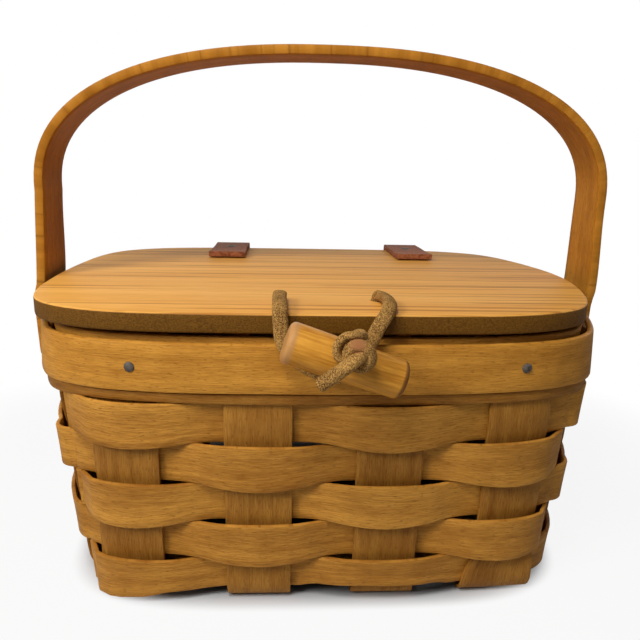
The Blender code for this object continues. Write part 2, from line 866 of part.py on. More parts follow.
def ball(name, place, radius, mat):
    """A small knot as a rounded lump."""
    bm = bmesh.new()
    bmesh.ops.create_uvsphere(bm, u_segments=NAIL_SIDES, v_segments=BALL_RINGS, radius=radius)
    mesh = bpy.data.meshes.new(name)
    bm.to_mesh(mesh)
    bm.free()
    mesh.shade_smooth()
    obj = add_object(name, mesh, mat)
    obj.location = place
    return obj


def make_closure_loop(mat, lid):
    """The loop on the lid, its holes, and the knots that hold it under the lid."""
    lace("closure_loop", LOOP_ROUTE, 2, mat)
    ends = ((LOOP_ROUTE[0], "left"), (LOOP_ROUTE[-1], "right"))
    for (x, y, z), hand in ends:
        place = Vector((x * MM, y * MM, z * MM - GAP - END_KNOT))
        ball(f"loop_knot_{hand}", place, END_KNOT, mat)
        top = Vector((x * MM, y * MM, LID_TOP))
        radius = LACE + LACE_CLEARANCE
        depth = LID_THICKNESS + CUT_OVERRUN
        cut(lid, [hole(f"loop_hole_{hand}", top, Vector((0, 0, 1)), radius, depth, CUT_OVERRUN)])


def make_stem(mat, pieces):
    """The lace's stretch through the rim's front, with the knot that holds it inside."""
    lace("toggle_lace_stem", STEM_ROUTE, 2, mat)
    x, y, z = STEM_ROUTE[0]
    ball("stem_knot", Vector((x * MM, y * MM + GAP + END_KNOT, z * MM)), END_KNOT, mat)
    front = wall_point(("side", STEM_X), (1, -1), STEM_LEVEL, SPLINT_THICKNESS)
    depth = INNER_BAND_THICKNESS + SPLINT_THICKNESS + CUT_OVERRUN
    over = OUTER_BAND_THICKNESS + CUT_OVERRUN
    radius = LACE + LACE_CLEARANCE
    cutter = hole("stem_hole", front, Vector((0, -1, 0)), radius, depth, over)
    for name in ("outer_rim_band", "inner_rim_band"):
        cut(pieces[name], [cutter])


RING_STEPS = 24
RING_SIDES = 8


def lace_ring(mat):
    """The lace's turn round the toggle, flattened by its pull, about the toggle's own middle."""
    radius = TOGGLE_RADIUS + GAP + LACE_THIN
    rings = []
    for k in range(RING_STEPS):
        turn = 2 * math.pi * k / RING_STEPS
        ring = []
        for side in range(RING_SIDES):
            angle = 2 * math.pi * side / RING_SIDES
            reach = radius + LACE_THIN * math.cos(angle)
            across = LACE * math.sin(angle)
            ring.append((across, reach * math.cos(turn), reach * math.sin(turn)))
        rings.append(ring)
    return loft("toggle_lace", rings, mat, closed=True, smooth=True)


def make_toggle(wood, leather):
    """The dowel and the knotted lace that turns with it, both hung from the swivel's empty."""
    swivel = bpy.data.objects.new("toggle_swivel", None)
    swivel.location = TOGGLE_PLACE
    bpy.context.scene.collection.objects.link(swivel)
    half, edge, radius = TOGGLE_LENGTH / 2, TOGGLE_CHAMFER, TOGGLE_RADIUS
    profile = [
        (radius - edge, -half),
        (radius - edge * TOGGLE_FACET_SHARE, -half + edge * TOGGLE_FACET_SHARE),
        (radius, -half + edge),
    ]
    profile += [(r, -along) for r, along in profile[::-1]]
    dowel = turned("toggle", profile, Vector(), Vector((1, 0, 0)), TOGGLE_SIDES, wood)
    ring = lace_ring(leather)
    for obj in (dowel, ring):
        obj.parent = swivel
        obj.rotation_euler = (0, TOGGLE_TILT, 0)
    reach = TOGGLE_RADIUS + GAP + KNOT
    x, y, z = TOGGLE_PLACE
    spot = Vector(
        (
            x + reach * math.sin(KNOT_RISE) * math.sin(TOGGLE_TILT),
            y - reach * math.cos(KNOT_RISE),
            z + reach * math.sin(KNOT_RISE) * math.cos(TOGGLE_TILT),
        )
    )
    knot = ball("lace_knot", spot, KNOT, leather)
    tail = lace("lace_tail", TAIL_ROUTE, 2, leather)
    for helper in (knot, to_mesh(tail)):
        helper.hide_render = True
        helper.display_type = "WIRE"
        join = ring.modifiers.new(helper.name, "BOOLEAN")
        join.operation = "UNION"
        join.solver = "EXACT"
        join.object = helper


def to_mesh(obj):
    """A curve object made a mesh object of the same name."""
    bpy.context.view_layer.update()
    graph = bpy.context.evaluated_depsgraph_get()
    mesh = bpy.data.meshes.new_from_object(obj.evaluated_get(graph))
    name = obj.name
    bpy.data.objects.remove(obj, do_unlink=True)
    bm = bmesh.new()
    bm.from_mesh(mesh)
    bmesh.ops.remove_doubles(bm, verts=bm.verts, dist=GAP / 10)
    bmesh.ops.recalc_face_normals(bm, faces=bm.faces)
    bm.to_mesh(mesh)
    bm.free()
    return add_object(name, mesh, None)


def main():
    clear_scene()
    splint = material("splint", (0.46, 0.25, 0.08), 0.55)
    band = material("band", (0.50, 0.27, 0.085), 0.5)
    handle_wood = material("handle_wood", (0.50, 0.22, 0.05), 0.45)
    lid_wood = material("lid_wood", (0.72, 0.42, 0.16), 0.5)
    toggle_wood = material("toggle_wood", (0.70, 0.38, 0.10), 0.4)
    strap_leather = material("strap_leather", (0.11, 0.035, 0.02), 0.6)
    lace_leather = material("lace_leather", (0.30, 0.18, 0.07), 0.8)
    steel = material("steel", (0.35, 0.34, 0.32), 0.4, 1.0)
    pieces = {}

    def keep(obj):
        pieces[obj.name] = obj

    for number in range(1, CROSS_COUNT + 1):
        keep(make_upright("cross", number, splint))
    for number in range(1, LONG_COUNT + 1):
        keep(make_upright("long", number, splint))
    for row in range(1, WEAVER_COUNT + 1):
        make_weaver(row, splint)
    make_trim(splint)
    keep(make_outer_band(band))
    keep(make_inner_band(band))
    keep(make_handle(handle_wood))
    keep(make_lid(lid_wood))
    for side in STRAP_PLACES:
        keep(make_strap(side, strap_leather))
    make_fastenings(steel, pieces)
    make_closure_loop(lace_leather, pieces["lid"])
    make_stem(lace_leather, pieces)
    make_toggle(toggle_wood, lace_leather)
    print("sub-parts:", sum(not o.hide_render and o.type != "EMPTY" for o in bpy.data.objects))


main()
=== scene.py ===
import functools
import json
import math

import bpy
from mathutils import Matrix, Vector, noise
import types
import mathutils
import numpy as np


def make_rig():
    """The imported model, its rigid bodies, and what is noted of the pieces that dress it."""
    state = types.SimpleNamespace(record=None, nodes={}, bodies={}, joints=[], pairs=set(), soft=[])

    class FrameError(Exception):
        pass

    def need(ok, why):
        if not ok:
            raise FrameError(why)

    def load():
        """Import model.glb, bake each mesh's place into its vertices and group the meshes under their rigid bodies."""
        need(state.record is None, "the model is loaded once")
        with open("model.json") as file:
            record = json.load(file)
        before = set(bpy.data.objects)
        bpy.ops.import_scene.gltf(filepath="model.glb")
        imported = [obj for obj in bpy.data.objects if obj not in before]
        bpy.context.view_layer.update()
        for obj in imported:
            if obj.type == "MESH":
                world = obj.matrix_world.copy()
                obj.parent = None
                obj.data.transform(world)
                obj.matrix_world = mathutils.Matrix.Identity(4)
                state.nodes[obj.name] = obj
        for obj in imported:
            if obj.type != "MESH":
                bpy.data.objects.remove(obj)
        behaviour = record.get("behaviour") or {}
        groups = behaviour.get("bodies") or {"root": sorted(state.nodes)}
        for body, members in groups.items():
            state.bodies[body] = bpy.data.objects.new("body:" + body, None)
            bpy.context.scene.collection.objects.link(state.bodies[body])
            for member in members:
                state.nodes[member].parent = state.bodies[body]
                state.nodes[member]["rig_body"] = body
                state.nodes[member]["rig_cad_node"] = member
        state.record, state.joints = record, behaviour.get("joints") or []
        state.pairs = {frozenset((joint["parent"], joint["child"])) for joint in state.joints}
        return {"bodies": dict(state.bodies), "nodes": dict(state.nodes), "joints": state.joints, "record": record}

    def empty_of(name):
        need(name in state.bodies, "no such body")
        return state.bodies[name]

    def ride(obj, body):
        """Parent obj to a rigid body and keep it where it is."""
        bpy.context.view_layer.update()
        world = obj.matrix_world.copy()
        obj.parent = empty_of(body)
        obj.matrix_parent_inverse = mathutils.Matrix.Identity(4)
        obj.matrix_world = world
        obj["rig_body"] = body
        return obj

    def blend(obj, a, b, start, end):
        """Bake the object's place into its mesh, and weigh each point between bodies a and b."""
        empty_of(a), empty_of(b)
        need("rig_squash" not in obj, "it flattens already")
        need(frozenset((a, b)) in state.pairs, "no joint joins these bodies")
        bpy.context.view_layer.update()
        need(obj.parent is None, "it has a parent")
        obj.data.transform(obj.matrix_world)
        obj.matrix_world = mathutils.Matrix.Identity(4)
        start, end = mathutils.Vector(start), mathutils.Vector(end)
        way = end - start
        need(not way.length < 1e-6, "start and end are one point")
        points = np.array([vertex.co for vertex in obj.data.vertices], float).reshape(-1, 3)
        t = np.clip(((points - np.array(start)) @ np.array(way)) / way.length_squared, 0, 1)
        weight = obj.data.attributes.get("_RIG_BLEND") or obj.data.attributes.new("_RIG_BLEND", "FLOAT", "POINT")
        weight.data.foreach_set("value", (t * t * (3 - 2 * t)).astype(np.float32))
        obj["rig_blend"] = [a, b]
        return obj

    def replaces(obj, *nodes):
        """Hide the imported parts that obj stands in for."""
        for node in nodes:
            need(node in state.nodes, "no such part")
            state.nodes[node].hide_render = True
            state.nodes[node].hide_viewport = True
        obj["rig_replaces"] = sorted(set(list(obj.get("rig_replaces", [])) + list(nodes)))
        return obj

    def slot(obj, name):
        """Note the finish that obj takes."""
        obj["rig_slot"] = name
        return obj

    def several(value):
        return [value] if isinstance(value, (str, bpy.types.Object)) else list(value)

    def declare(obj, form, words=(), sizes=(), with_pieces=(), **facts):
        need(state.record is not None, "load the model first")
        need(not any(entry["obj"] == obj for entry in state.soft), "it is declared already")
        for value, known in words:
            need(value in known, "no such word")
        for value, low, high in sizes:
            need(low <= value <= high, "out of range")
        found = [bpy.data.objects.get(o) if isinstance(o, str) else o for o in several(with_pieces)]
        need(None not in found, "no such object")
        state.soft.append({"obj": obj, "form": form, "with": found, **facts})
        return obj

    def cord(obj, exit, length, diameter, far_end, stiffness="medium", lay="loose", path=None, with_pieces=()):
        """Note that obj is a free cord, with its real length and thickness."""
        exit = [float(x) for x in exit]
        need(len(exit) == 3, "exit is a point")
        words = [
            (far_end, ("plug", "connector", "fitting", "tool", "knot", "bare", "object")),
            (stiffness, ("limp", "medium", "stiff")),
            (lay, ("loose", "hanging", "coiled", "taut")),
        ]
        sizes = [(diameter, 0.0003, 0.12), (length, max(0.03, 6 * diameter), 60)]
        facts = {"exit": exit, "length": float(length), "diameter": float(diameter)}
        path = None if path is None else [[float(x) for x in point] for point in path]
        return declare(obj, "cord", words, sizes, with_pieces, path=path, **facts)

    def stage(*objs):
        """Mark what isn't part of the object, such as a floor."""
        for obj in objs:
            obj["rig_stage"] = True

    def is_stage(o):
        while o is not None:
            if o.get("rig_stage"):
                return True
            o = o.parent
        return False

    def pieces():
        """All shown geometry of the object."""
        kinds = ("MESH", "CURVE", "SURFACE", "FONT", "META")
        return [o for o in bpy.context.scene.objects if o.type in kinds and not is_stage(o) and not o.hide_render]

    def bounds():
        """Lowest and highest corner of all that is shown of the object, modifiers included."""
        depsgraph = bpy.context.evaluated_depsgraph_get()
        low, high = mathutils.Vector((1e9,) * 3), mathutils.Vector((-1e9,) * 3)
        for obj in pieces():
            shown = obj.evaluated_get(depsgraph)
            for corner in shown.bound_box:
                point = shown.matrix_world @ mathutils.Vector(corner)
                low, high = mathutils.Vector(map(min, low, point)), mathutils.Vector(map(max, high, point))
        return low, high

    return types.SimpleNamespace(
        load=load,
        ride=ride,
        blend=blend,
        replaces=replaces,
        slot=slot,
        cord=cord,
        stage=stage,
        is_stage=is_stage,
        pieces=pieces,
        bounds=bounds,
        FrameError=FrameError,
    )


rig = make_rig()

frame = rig.load()
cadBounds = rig.bounds()

mm = 0.001
touch = 0.3 * mm  # left between pieces that rest on each other


# Modelling helpers


def clearSelection():
    if bpy.context.mode != "OBJECT":
        bpy.ops.object.mode_set(mode="OBJECT")
    bpy.ops.object.select_all(action="DESELECT")


def pickOnly(obj):
    clearSelection()
    obj.select_set(True)
    bpy.context.view_layer.objects.active = obj


def named(name):
    obj = bpy.context.object
    obj.name = obj.data.name = name
    return obj


def pickFaces(obj, test):
    pickOnly(obj)
    bpy.ops.object.mode_set(mode="EDIT")
    bpy.ops.mesh.select_mode(type="FACE")
    bpy.ops.mesh.select_all(action="DESELECT")
    bpy.ops.object.mode_set(mode="OBJECT")
    for face in obj.data.polygons:
        face.select = test(face.center, face.normal)
    bpy.ops.object.mode_set(mode="EDIT")


def useModifier(obj, kind, **settings):
    pickOnly(obj)
    modifier = obj.modifiers.new(kind.title(), kind)
    for key, value in settings.items():
        setattr(modifier, key, value)
    bpy.ops.object.modifier_apply(modifier=modifier.name)


def smoothUnder(obj, degrees):
    pickOnly(obj)
    bpy.ops.object.shade_smooth_by_angle(angle=math.radians(degrees))


def placeIn(obj, place, turn):
    obj.matrix_world = Matrix.Translation(place) @ turn
    pickOnly(obj)
    bpy.ops.object.transform_apply(location=True, rotation=True, scale=True)


def waver(point, often, seed):  # smooth unevenness from -1 to 1
    return noise.noise(point * often + Vector((seed, 2.3 * seed, 5.1 * seed)))


def ease(value, low, high):
    t = min(1, max(0, (value - low) / (high - low)))
    return t * t * (3 - 2 * t)


def spread(low, high, steps):
    return [low + (high - low) * step / steps for step in range(steps + 1)]


def bentStrip(name, stops, bend, width, thick, edge, across=6, ring=False, shift=0):
    # a flat strip laid along its route; bend(stop, side) gives a place, with side from -1 to 1
    clearSelection()
    columns = len(stops) - 1
    bpy.ops.mesh.primitive_grid_add(x_subdivisions=columns, y_subdivisions=across, size=1)
    obj = named(name)
    mesh = obj.data
    cells = [(round((v.co.x + 0.5) * columns), round((v.co.y + 0.5) * across)) for v in mesh.vertices]
    for vertex, (column, row) in zip(mesh.vertices, cells):
        vertex.co = bend(stops[column], 2 * row / across - 1)
    reach = [shift]
    middle = [bend(stop, 0) for stop in stops]
    for before, after in zip(middle, middle[1:]):
        reach.append(reach[-1] + (after - before).length)
    grain = mesh.uv_layers.active
    grain.name = "grain"
    for loop in mesh.loops:
        column, row = cells[loop.vertex_index]
        grain.data[loop.index].uv = (reach[column], (row / across - 0.5) * width)
    if ring:
        pickFaces(obj, lambda centre, normal: True)
        bpy.ops.mesh.remove_doubles(threshold=0.01 * mm)
        bpy.ops.object.mode_set(mode="OBJECT")
    useModifier(obj, "SOLIDIFY", thickness=thick, offset=0, use_even_offset=True)
    useModifier(obj, "BEVEL", width=edge, segments=2, angle_limit=math.radians(50))
    smoothUnder(obj, 40)
    return obj


def settle(obj, body, slotName, *nodes):
    obj.data.materials.clear()
    obj.data.materials.append(finishes[slotName])
    if body:
        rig.ride(obj, body)
    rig.slot(obj, slotName)
    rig.replaces(obj, *nodes)


# Finishes


def shade(*levels):  # red, green and blue as seen on screen, turned into the renderer's scale
    shares = [level / 255 for level in levels]
    return tuple(c / 12.92 if c < 0.04 else ((c + 0.055) / 1.055) ** 2.4 for c in shares)


class Wire:
    def __init__(self, finish, socket):
        self.finish, self.socket = finish, socket

    def maths(self, operation, first, second):
        return self.finish.node("ShaderNodeMath", {"operation": operation}, {0: first, 1: second})

    def __add__(self, other):
        return self.maths("ADD", self, other)

    def __sub__(self, other):
        return self.maths("SUBTRACT", self, other)

    def __mul__(self, other):
        return self.maths("MULTIPLY", self, other)

    def __rsub__(self, other):
        return self.maths("SUBTRACT", other, self)

    __radd__, __rmul__ = __add__, __mul__

    def between(self, low, high):  # 0 below low, 1 above high
        values = {"Value": self, "From Min": low, "From Max": high}
        return self.finish.node("ShaderNodeMapRange", {"interpolation_type": "SMOOTHSTEP"}, values)


usualGloss = 0.12


class Finish:
    def __init__(self, name, roughness, metallic=0.0, gloss=usualGloss):
        self.material = bpy.data.materials.new(name)
        self.material.use_nodes = True
        self.tree = self.material.node_tree
        self.shader = self.tree.nodes["Principled BSDF"]
        self.shader.inputs["Roughness"].default_value = roughness
        self.shader.inputs["Metallic"].default_value = metallic
        self.shader.inputs["Specular IOR Level"].default_value = gloss

    def node(self, kind, settings, values, output=0):
        made = self.tree.nodes.new(kind)
        for key, value in settings.items():
            setattr(made, key, value)
        for key, value in values.items():
            if isinstance(value, Wire):
                self.tree.links.new(value.socket, made.inputs[key])
            else:
                made.inputs[key].default_value = value
        return Wire(self, made.outputs[output])

    def feed(self, socketName, wire):
        self.tree.links.new(wire.socket, self.shader.inputs[socketName])

    def grain(self):
        return self.node("ShaderNodeUVMap", {"uv_map": "grain"}, {})

    def place(self):
        return self.node("ShaderNodeTexCoord", {}, {}, "Object")

    def stretched(self, vector, scale):
        return self.node("ShaderNodeMapping", {}, {"Vector": vector, "Scale": scale})

    def cloud(self, vector, scale, detail, low, high, distortion=0.0):
        vector = self.stretched(vector, scale)
        values = {"Vector": vector, "Scale": 1.0, "Detail": detail, "Distortion": distortion}
        return self.node("ShaderNodeTexNoise", {}, values).between(low, high)

    def blend(self, amount, first, second):
        first, second = ((*c, 1) if isinstance(c, tuple) else c for c in (first, second))
        return self.node("ShaderNodeMix", {"data_type": "RGBA"}, {0: amount, 6: first, 7: second}, 2)

    def relief(self, height, depth, strength):
        values = {"Height": height, "Distance": depth, "Strength": strength}
        self.feed("Normal", self.node("ShaderNodeBump", {}, values))


stakeGrain = 9  # metres along the splints' grain, where the stakes and the trim lie beyond the weavers


def stripWood(name, light, dark, fleck, roughness, figure=1.0, duller=0.0, gloss=usualGloss):
    finish = Finish(name, roughness, gloss=gloss)
    grain = finish.grain()
    board = finish.cloud(grain, (2.5, 22, 1), 2, 0.32, 0.68)
    bands = finish.cloud(grain, (16, 330, 1), 3, 0.3, 0.7, 0.6)
    fibre = finish.cloud(grain, (170, 2400, 1), 3, 0.3, 0.7)
    flecks = finish.cloud(grain, (430, 2300, 1), 1, 0.58, 0.74)
    blotch = finish.cloud(grain, (55, 90, 1), 3, 0.4, 0.7)
    colour = finish.blend(board * 0.35 * figure + bands * 0.35 * figure + fibre * 0.4, dark, light)
    colour = finish.blend(blotch * 0.35, colour, dark)
    if duller:  # for the stakes and the trim
        along = finish.node("ShaderNodeSeparateXYZ", {}, {"Vector": grain}, "X")
        colour = finish.blend(along.between(stakeGrain, stakeGrain + 0.1) * duller, colour, fleck)
    colour = finish.blend(flecks * 0.45, colour, fleck)
    finish.feed("Base Color", colour)
    finish.relief(fibre * 0.7 + flecks * -0.8 + bands * 0.4, 0.12 * mm, 0.55)
    return finish.material


def lidBoard():
    lid = {
        "light": shade(240, 180, 92),
        "dark": shade(214, 148, 62),
        "line": shade(160, 98, 34),
        "edge": shade(118, 78, 20),
        "edgeDark": shade(84, 52, 8),
        "edgeTop": (113.95 * mm, 114.35 * mm),  # between these levels the dark edge ends
    }
    finish = Finish("lidWood", 0.55)
    place = finish.place()
    broad = finish.cloud(place, (2.2, 70, 70), 2, 0.3, 0.7, 0.8)
    lines = finish.cloud(place, (5, 330, 330), 3, 0.34, 0.7, 0.4)
    fibre = finish.cloud(place, (90, 1500, 1500), 2, 0.3, 0.7)
    colour = finish.blend(broad * 0.55 + fibre * 0.35, lid["dark"], lid["light"])
    colour = finish.blend(lines.between(0.5, 1.0) * 0.7, colour, lid["line"])
    rough = finish.cloud(place, (1500, 1500, 2400), 3, 0.25, 0.75)
    side = finish.blend(rough, lid["edgeDark"], lid["edge"])
    height = finish.node("ShaderNodeSeparateXYZ", {}, {"Vector": place}, "Z")
    onTop = height.between(*lid["edgeTop"])
    finish.feed("Base Color", finish.blend(onTop, side, colour))
    finish.relief(fibre * 0.4 + lines * -0.4 + rough * (1 - onTop), 0.12 * mm, 0.5)
    return finish.material


def toggleWood():
    toggle = {
        "light": shade(222, 158, 60),
        "dark": shade(172, 108, 30),
        "pale": shade(184, 134, 82),
        # the colour of the painted shade on the right end
        "worn": shade(112, 66, 28),
        "paleFrom": (16.3 * mm, 17.9 * mm),  # from the middle, at the left end
        "wornFrom": (17.5 * mm, 18.5 * mm),  # at the right end: painted shade on its face, which turns away from the light
    }
    finish = Finish("toggleWood", 0.36)
    grain = finish.grain()
    bands = finish.cloud(grain, (30, 420, 1), 3, 0.3, 0.7, 0.5)
    fibre = finish.cloud(grain, (160, 1300, 1), 2, 0.35, 0.7)
    along = finish.node("ShaderNodeSeparateXYZ", {}, {"Vector": grain}, "X")
    colour = finish.blend(bands * 0.6 + fibre * 0.4, toggle["dark"], toggle["light"])
    leftEnd = (0 - along).between(*toggle["paleFrom"])
    rightEndShade = along.between(*toggle["wornFrom"])
    colour = finish.blend(leftEnd * 0.85, colour, toggle["pale"])
    # the right end darkened: painted shade, as its face turns away from the light
    finish.feed("Base Color", finish.blend(rightEndShade * 0.8, colour, toggle["worn"]))
    finish.relief(fibre, 0.1 * mm, 0.4)
    return finish.material


def leather(name, light, dark, roughness, size, depth, hide=None):
    finish = Finish(name, roughness)
    place = finish.place()
    nap = finish.cloud(place, (size, size, size), 3, 0.36, 0.64)
    patches = finish.cloud(place, (160, 160, 160), 2, 0.3, 0.7)
    colour = finish.blend(nap * 0.8 + patches * 0.3, dark, light)
    if hide:  # its smooth outer side, seen at one place of the knot
        spot, reach, tone = hide
        far = finish.node("ShaderNodeVectorMath", {"operation": "DISTANCE"}, {0: place, 1: spot}, "Value")
        colour = finish.blend(far.between(*reach), tone, colour)
    finish.feed("Base Color", colour)
    finish.relief(nap, depth, 0.8)
    return finish.material


def dullSteel():
    finish = Finish("nailSteel", 0.55, 0.6)
    tarnish = finish.cloud(finish.place(), (700, 700, 700), 2, 0.35, 0.7)
    finish.feed("Base Color", finish.blend(tarnish, shade(104, 96, 88), shade(72, 64, 56)))
    return finish.material


finishes = {
    "splint": stripWood("splintWood", light=shade(213, 152, 63), dark=shade(140, 85, 24),
                        fleck=shade(90, 50, 14), roughness=0.5, duller=0.36),
    "band": stripWood("bandWood", light=shade(220, 156, 62), dark=shade(158, 100, 28),
                      fleck=shade(104, 58, 16), roughness=0.46),
    "handle_wood": stripWood("handleWood", light=shade(214, 146, 54), dark=shade(144, 88, 22),
                             fleck=shade(96, 52, 12), roughness=0.42, figure=0.6, gloss=0.04),
    "lid_wood": lidBoard(),
    "toggle_wood": toggleWood(),
    "strap_leather": leather("strapLeather", light=shade(156, 94, 58), dark=shade(110, 58, 32),
                             roughness=0.6, size=900, depth=0.12 * mm),
    "lace_leather": leather("laceSuede", light=shade(200, 152, 82), dark=shade(84, 50, 20),
                            roughness=0.9, size=2600, depth=0.2 * mm, hide=(
                                Vector((6.8, -106.2, 112.6)) * mm, (0.9 * mm, 3.6 * mm), shade(164, 108, 66))),
    "steel": dullSteel(),
}
print("finishes made")


# Camera, measured back from the photograph

view = {
    "place": Vector((-13.94, -280.15, 164.24)) * mm,
    "turn": -0.0546,
    "pitch": -0.249,
    "roll": -0.0222,
    "focal": 629.5,  # in pixels
    "wide": 640,  # the picture, in pixels
    "sensor": 36,
    "near": 10 * mm,
}
clearSelection()
bpy.ops.object.camera_add()
camera = named("photoCamera")
camera.matrix_world = (
    Matrix.Translation(view["place"])
    @ Matrix.Rotation(view["turn"], 4, "Z")
    @ Matrix.Rotation(view["pitch"], 4, "X")
    @ Matrix.Rotation(view["roll"], 4, "Y")
    @ Matrix.Rotation(math.pi / 2, 4, "X")
)
camera.data.sensor_width = view["sensor"]
camera.data.lens = view["focal"] / view["wide"] * view["sensor"]
camera.data.clip_start = view["near"]
bpy.context.scene.camera = camera


# The sloping wall: quarter plans from the front's middle to an end's middle, in millimetres

wall = {
    "rim": 104.4 * mm,
    "floorPlan": ((0, 70.6), (40, 70.3), (62, 69.4), (76, 67.3), (83, 63.9), (87.5, 58.8),
                  (91.3, 51.5), (94.8, 40), (96.9, 26), (97.9, 12), (98, 0)),
    "rimPlan": ((0, 76.7), (40, 75.9), (62, 73.6), (79, 69.9), (90.5, 64.2), (96.9, 58.1),
                (100.7, 51.5), (105.2, 40), (109.6, 25), (112.6, 11), (113.6, 0)),
    "splint": 1.5 * mm,
    "stakeWidth": 24 * mm,
    "crossPitch": 47.2 * mm,
    "longPitch": 38 * mm,
    "crossStakes": 4,
    "longStakes": 3,
    "ends": (84 * mm, 102 * mm),  # from the middle, between these the sides turn into the ends
}


def betweenFour(a, b, c, d, t):  # place and slope on a smooth curve through four points, from b to c
    square, cube = a * 2 - b * 5 + c * 4 - d, b * 3 - a - c * 3 + d
    spot = (b * 2 + (c - a) * t + square * t**2 + cube * t**3) / 2
    return spot, (c - a) + square * 2 * t + cube * 3 * t**2


def onCurve(points, turn):  # place and outward direction; the curve is mirrored past its two ends
    k = min(int(turn), len(points) - 2)
    t = turn - k
    before = points[k - 1] if k else (-points[1][0], points[1][1])
    after = points[k + 2] if k + 2 < len(points) else (points[-2][0], -points[-2][1])
    spot, slope = betweenFour(*(Vector(p) for p in (before, points[k], points[k + 1], after)), t)
    return spot * mm, Vector((-slope.y, slope.x)).normalized()


def planAt(level):
    share = level / wall["rim"]
    pairs = zip(wall["floorPlan"], wall["rimPlan"])
    return [tuple(low + (high - low) * share for low, high in zip(*pair)) for pair in pairs]


def turnWhere(points, axis, value):  # halving: x grows along the plan, y falls
    low, high = 0, len(points) - 1
    for _ in range(24):
        middle = (low + high) / 2
        if (onCurve(points, middle)[0][axis] > value) == (axis == 0):
            high = middle
        else:
            low = middle
    return (low + high) / 2


@functools.lru_cache(maxsize=None)
def quarterSpot(kind, value, level):
    points = planAt(level)
    if kind == "corner":
        side = turnWhere(points, 0, 1.5 * wall["crossPitch"] + wall["stakeWidth"] / 2)
        end = turnWhere(points, 1, wall["longPitch"] + wall["stakeWidth"] / 2)
        return onCurve(points, side + (end - side) * value)
    return onCurve(points, turnWhere(points, 0 if kind == "side" else 1, value))


def onWall(kind, value, signs, level, offset):
    level = round(level, 6)
    spot, out = quarterSpot(kind, value, level)
    point = spot + out * offset
    return Vector((signs[0] * point.x, signs[1] * point.y, level))


def endShare(spot):  # 0 along the sides, 1 round the ends
    return ease(abs(spot.x), *wall["ends"])


def ringStops(perStake=6, perGap=7, perCorner=16):
    # round the wall from the front's left end: kind, value, signs, number of the stake before,
    # share of the gap after it, side of the stake
    stops, number = [], 0
    half = wall["stakeWidth"] / 2
    side = ("side", wall["crossStakes"], wall["crossPitch"])
    end = ("end", wall["longStakes"], wall["longPitch"])
    runs = ((side, 1, -1), (end, 1, 1), (side, -1, 1), (end, -1, -1))
    for (kind, count, pitch), direction, fixed in runs:

        def stop(at, share, side):
            sign = 1 if at >= 0 else -1
            signs = (sign, fixed) if kind == "side" else (fixed, sign)
            return (kind, abs(at), signs, number, share, side)

        for k in range(count):
            centre = direction * (k - (count - 1) / 2) * pitch
            stops += [stop(centre + direction * side * half, 0, side) for side in spread(-1, 1, perStake)]
            if k + 1 < count:
                start = centre + direction * half
                for share in spread(0, 1, perGap)[1:-1]:
                    stops.append(stop(start + direction * (pitch - 2 * half) * share, share, 0))
            number += 1
        signs = (direction, fixed) if kind == "side" else (fixed, direction)
        for share in spread(0, 1, perCorner)[1:-1]:
            at = share if kind == "side" else 1 - share
            stops.append(("corner", at, signs, number - 1, share, 0))

    def onSeam(stop):  # the middle of a stake at the back
        kind, _, signs, _, share, side = stop
        return kind == "side" and signs[1] > 0 and share == side == 0

    seam = next(k for k, stop in enumerate(stops) if onSeam(stop))
    return stops[seam:] + stops[: seam + 1]


wallStops = ringStops()


# Weavers

weaver = {
    "rows": 5,
    "bottom": 3.4 * mm,
    "pitch": 15.8 * mm,
    "width": 15.4 * mm,
    "edge": 0.4 * mm,
    "lift": 1.85 * mm,
    "dip": 2.2 * mm,  # of the lower edge, where it passes outside
    "lessDip": 1.9,  # at the ends, where it turns into a rise
    "topRise": 2.6 * mm,  # of the uppermost one at the ends, behind the trim
    "reach": 0.5 * mm,  # past its row, where it stands clear of the next one
    "onStake": 0.51,  # half a stake, as a share of half the pitch
    "inGap": 0.98,  # twice the share that is left
    "swell": 1.3 * mm,  # in the middle of an outside pass
    "lessSwell": 0.6,  # at the ends
    "lowStand": 0.25 * mm,  # of its lower edge, away from the wall
    "flare": 0.9 * mm,  # of its upper edge, away from the wall
    "puff": (0.1, 0.4, 0.7, 0.8, 0.8),  # in corners where it comes out, in millimetres, lowest row first
    "cornerSwell": (0, 0.6, 2.8, 4.0, 4.0),  # more, past the middle of such a corner
    "cut": (0.2, 0.4, 0.4, 0.9, 0.9),  # the same as puff, in corners where it goes in
    "turnIn": 0.64,  # below 1, it goes in sooner there
    "footRise": 2.2 * mm,  # of the lowest one's lower edge, over the stakes' bends
    "frontFoot": ((-96, -2.0), (-80, -2.0), (-67, -0.4), (-57, 1.6), (-47, 1.2), (-36, 0.2), (-11, 0.4),
                  (0, 3.4), (15, 4.4), (42, 3.8), (52, 1.6), (60, 0.2), (84, 0.2), (96, 0)),
    "uneven": 0.45 * mm,
    "lessUneven": 0.25,  # what is left of it at the back
    "backRise": 0.15 * mm,  # of its upper edge at the back, as its lower edge sinks
    "grainStep": 1.37,
}


def frontFoot(x):  # how the lowest weaver's lower edge wanders along the front
    for (start, low), (end, high) in zip(weaver["frontFoot"], weaver["frontFoot"][1:]):
        if x <= end:
            return (low + (high - low) * ease(x, start, end)) * mm
    return 0


def inGap(share):  # how far from the nearest stake's middle, 1 in the middle of the gap
    return weaver["onStake"] + weaver["inGap"] * min(share, 1 - share)


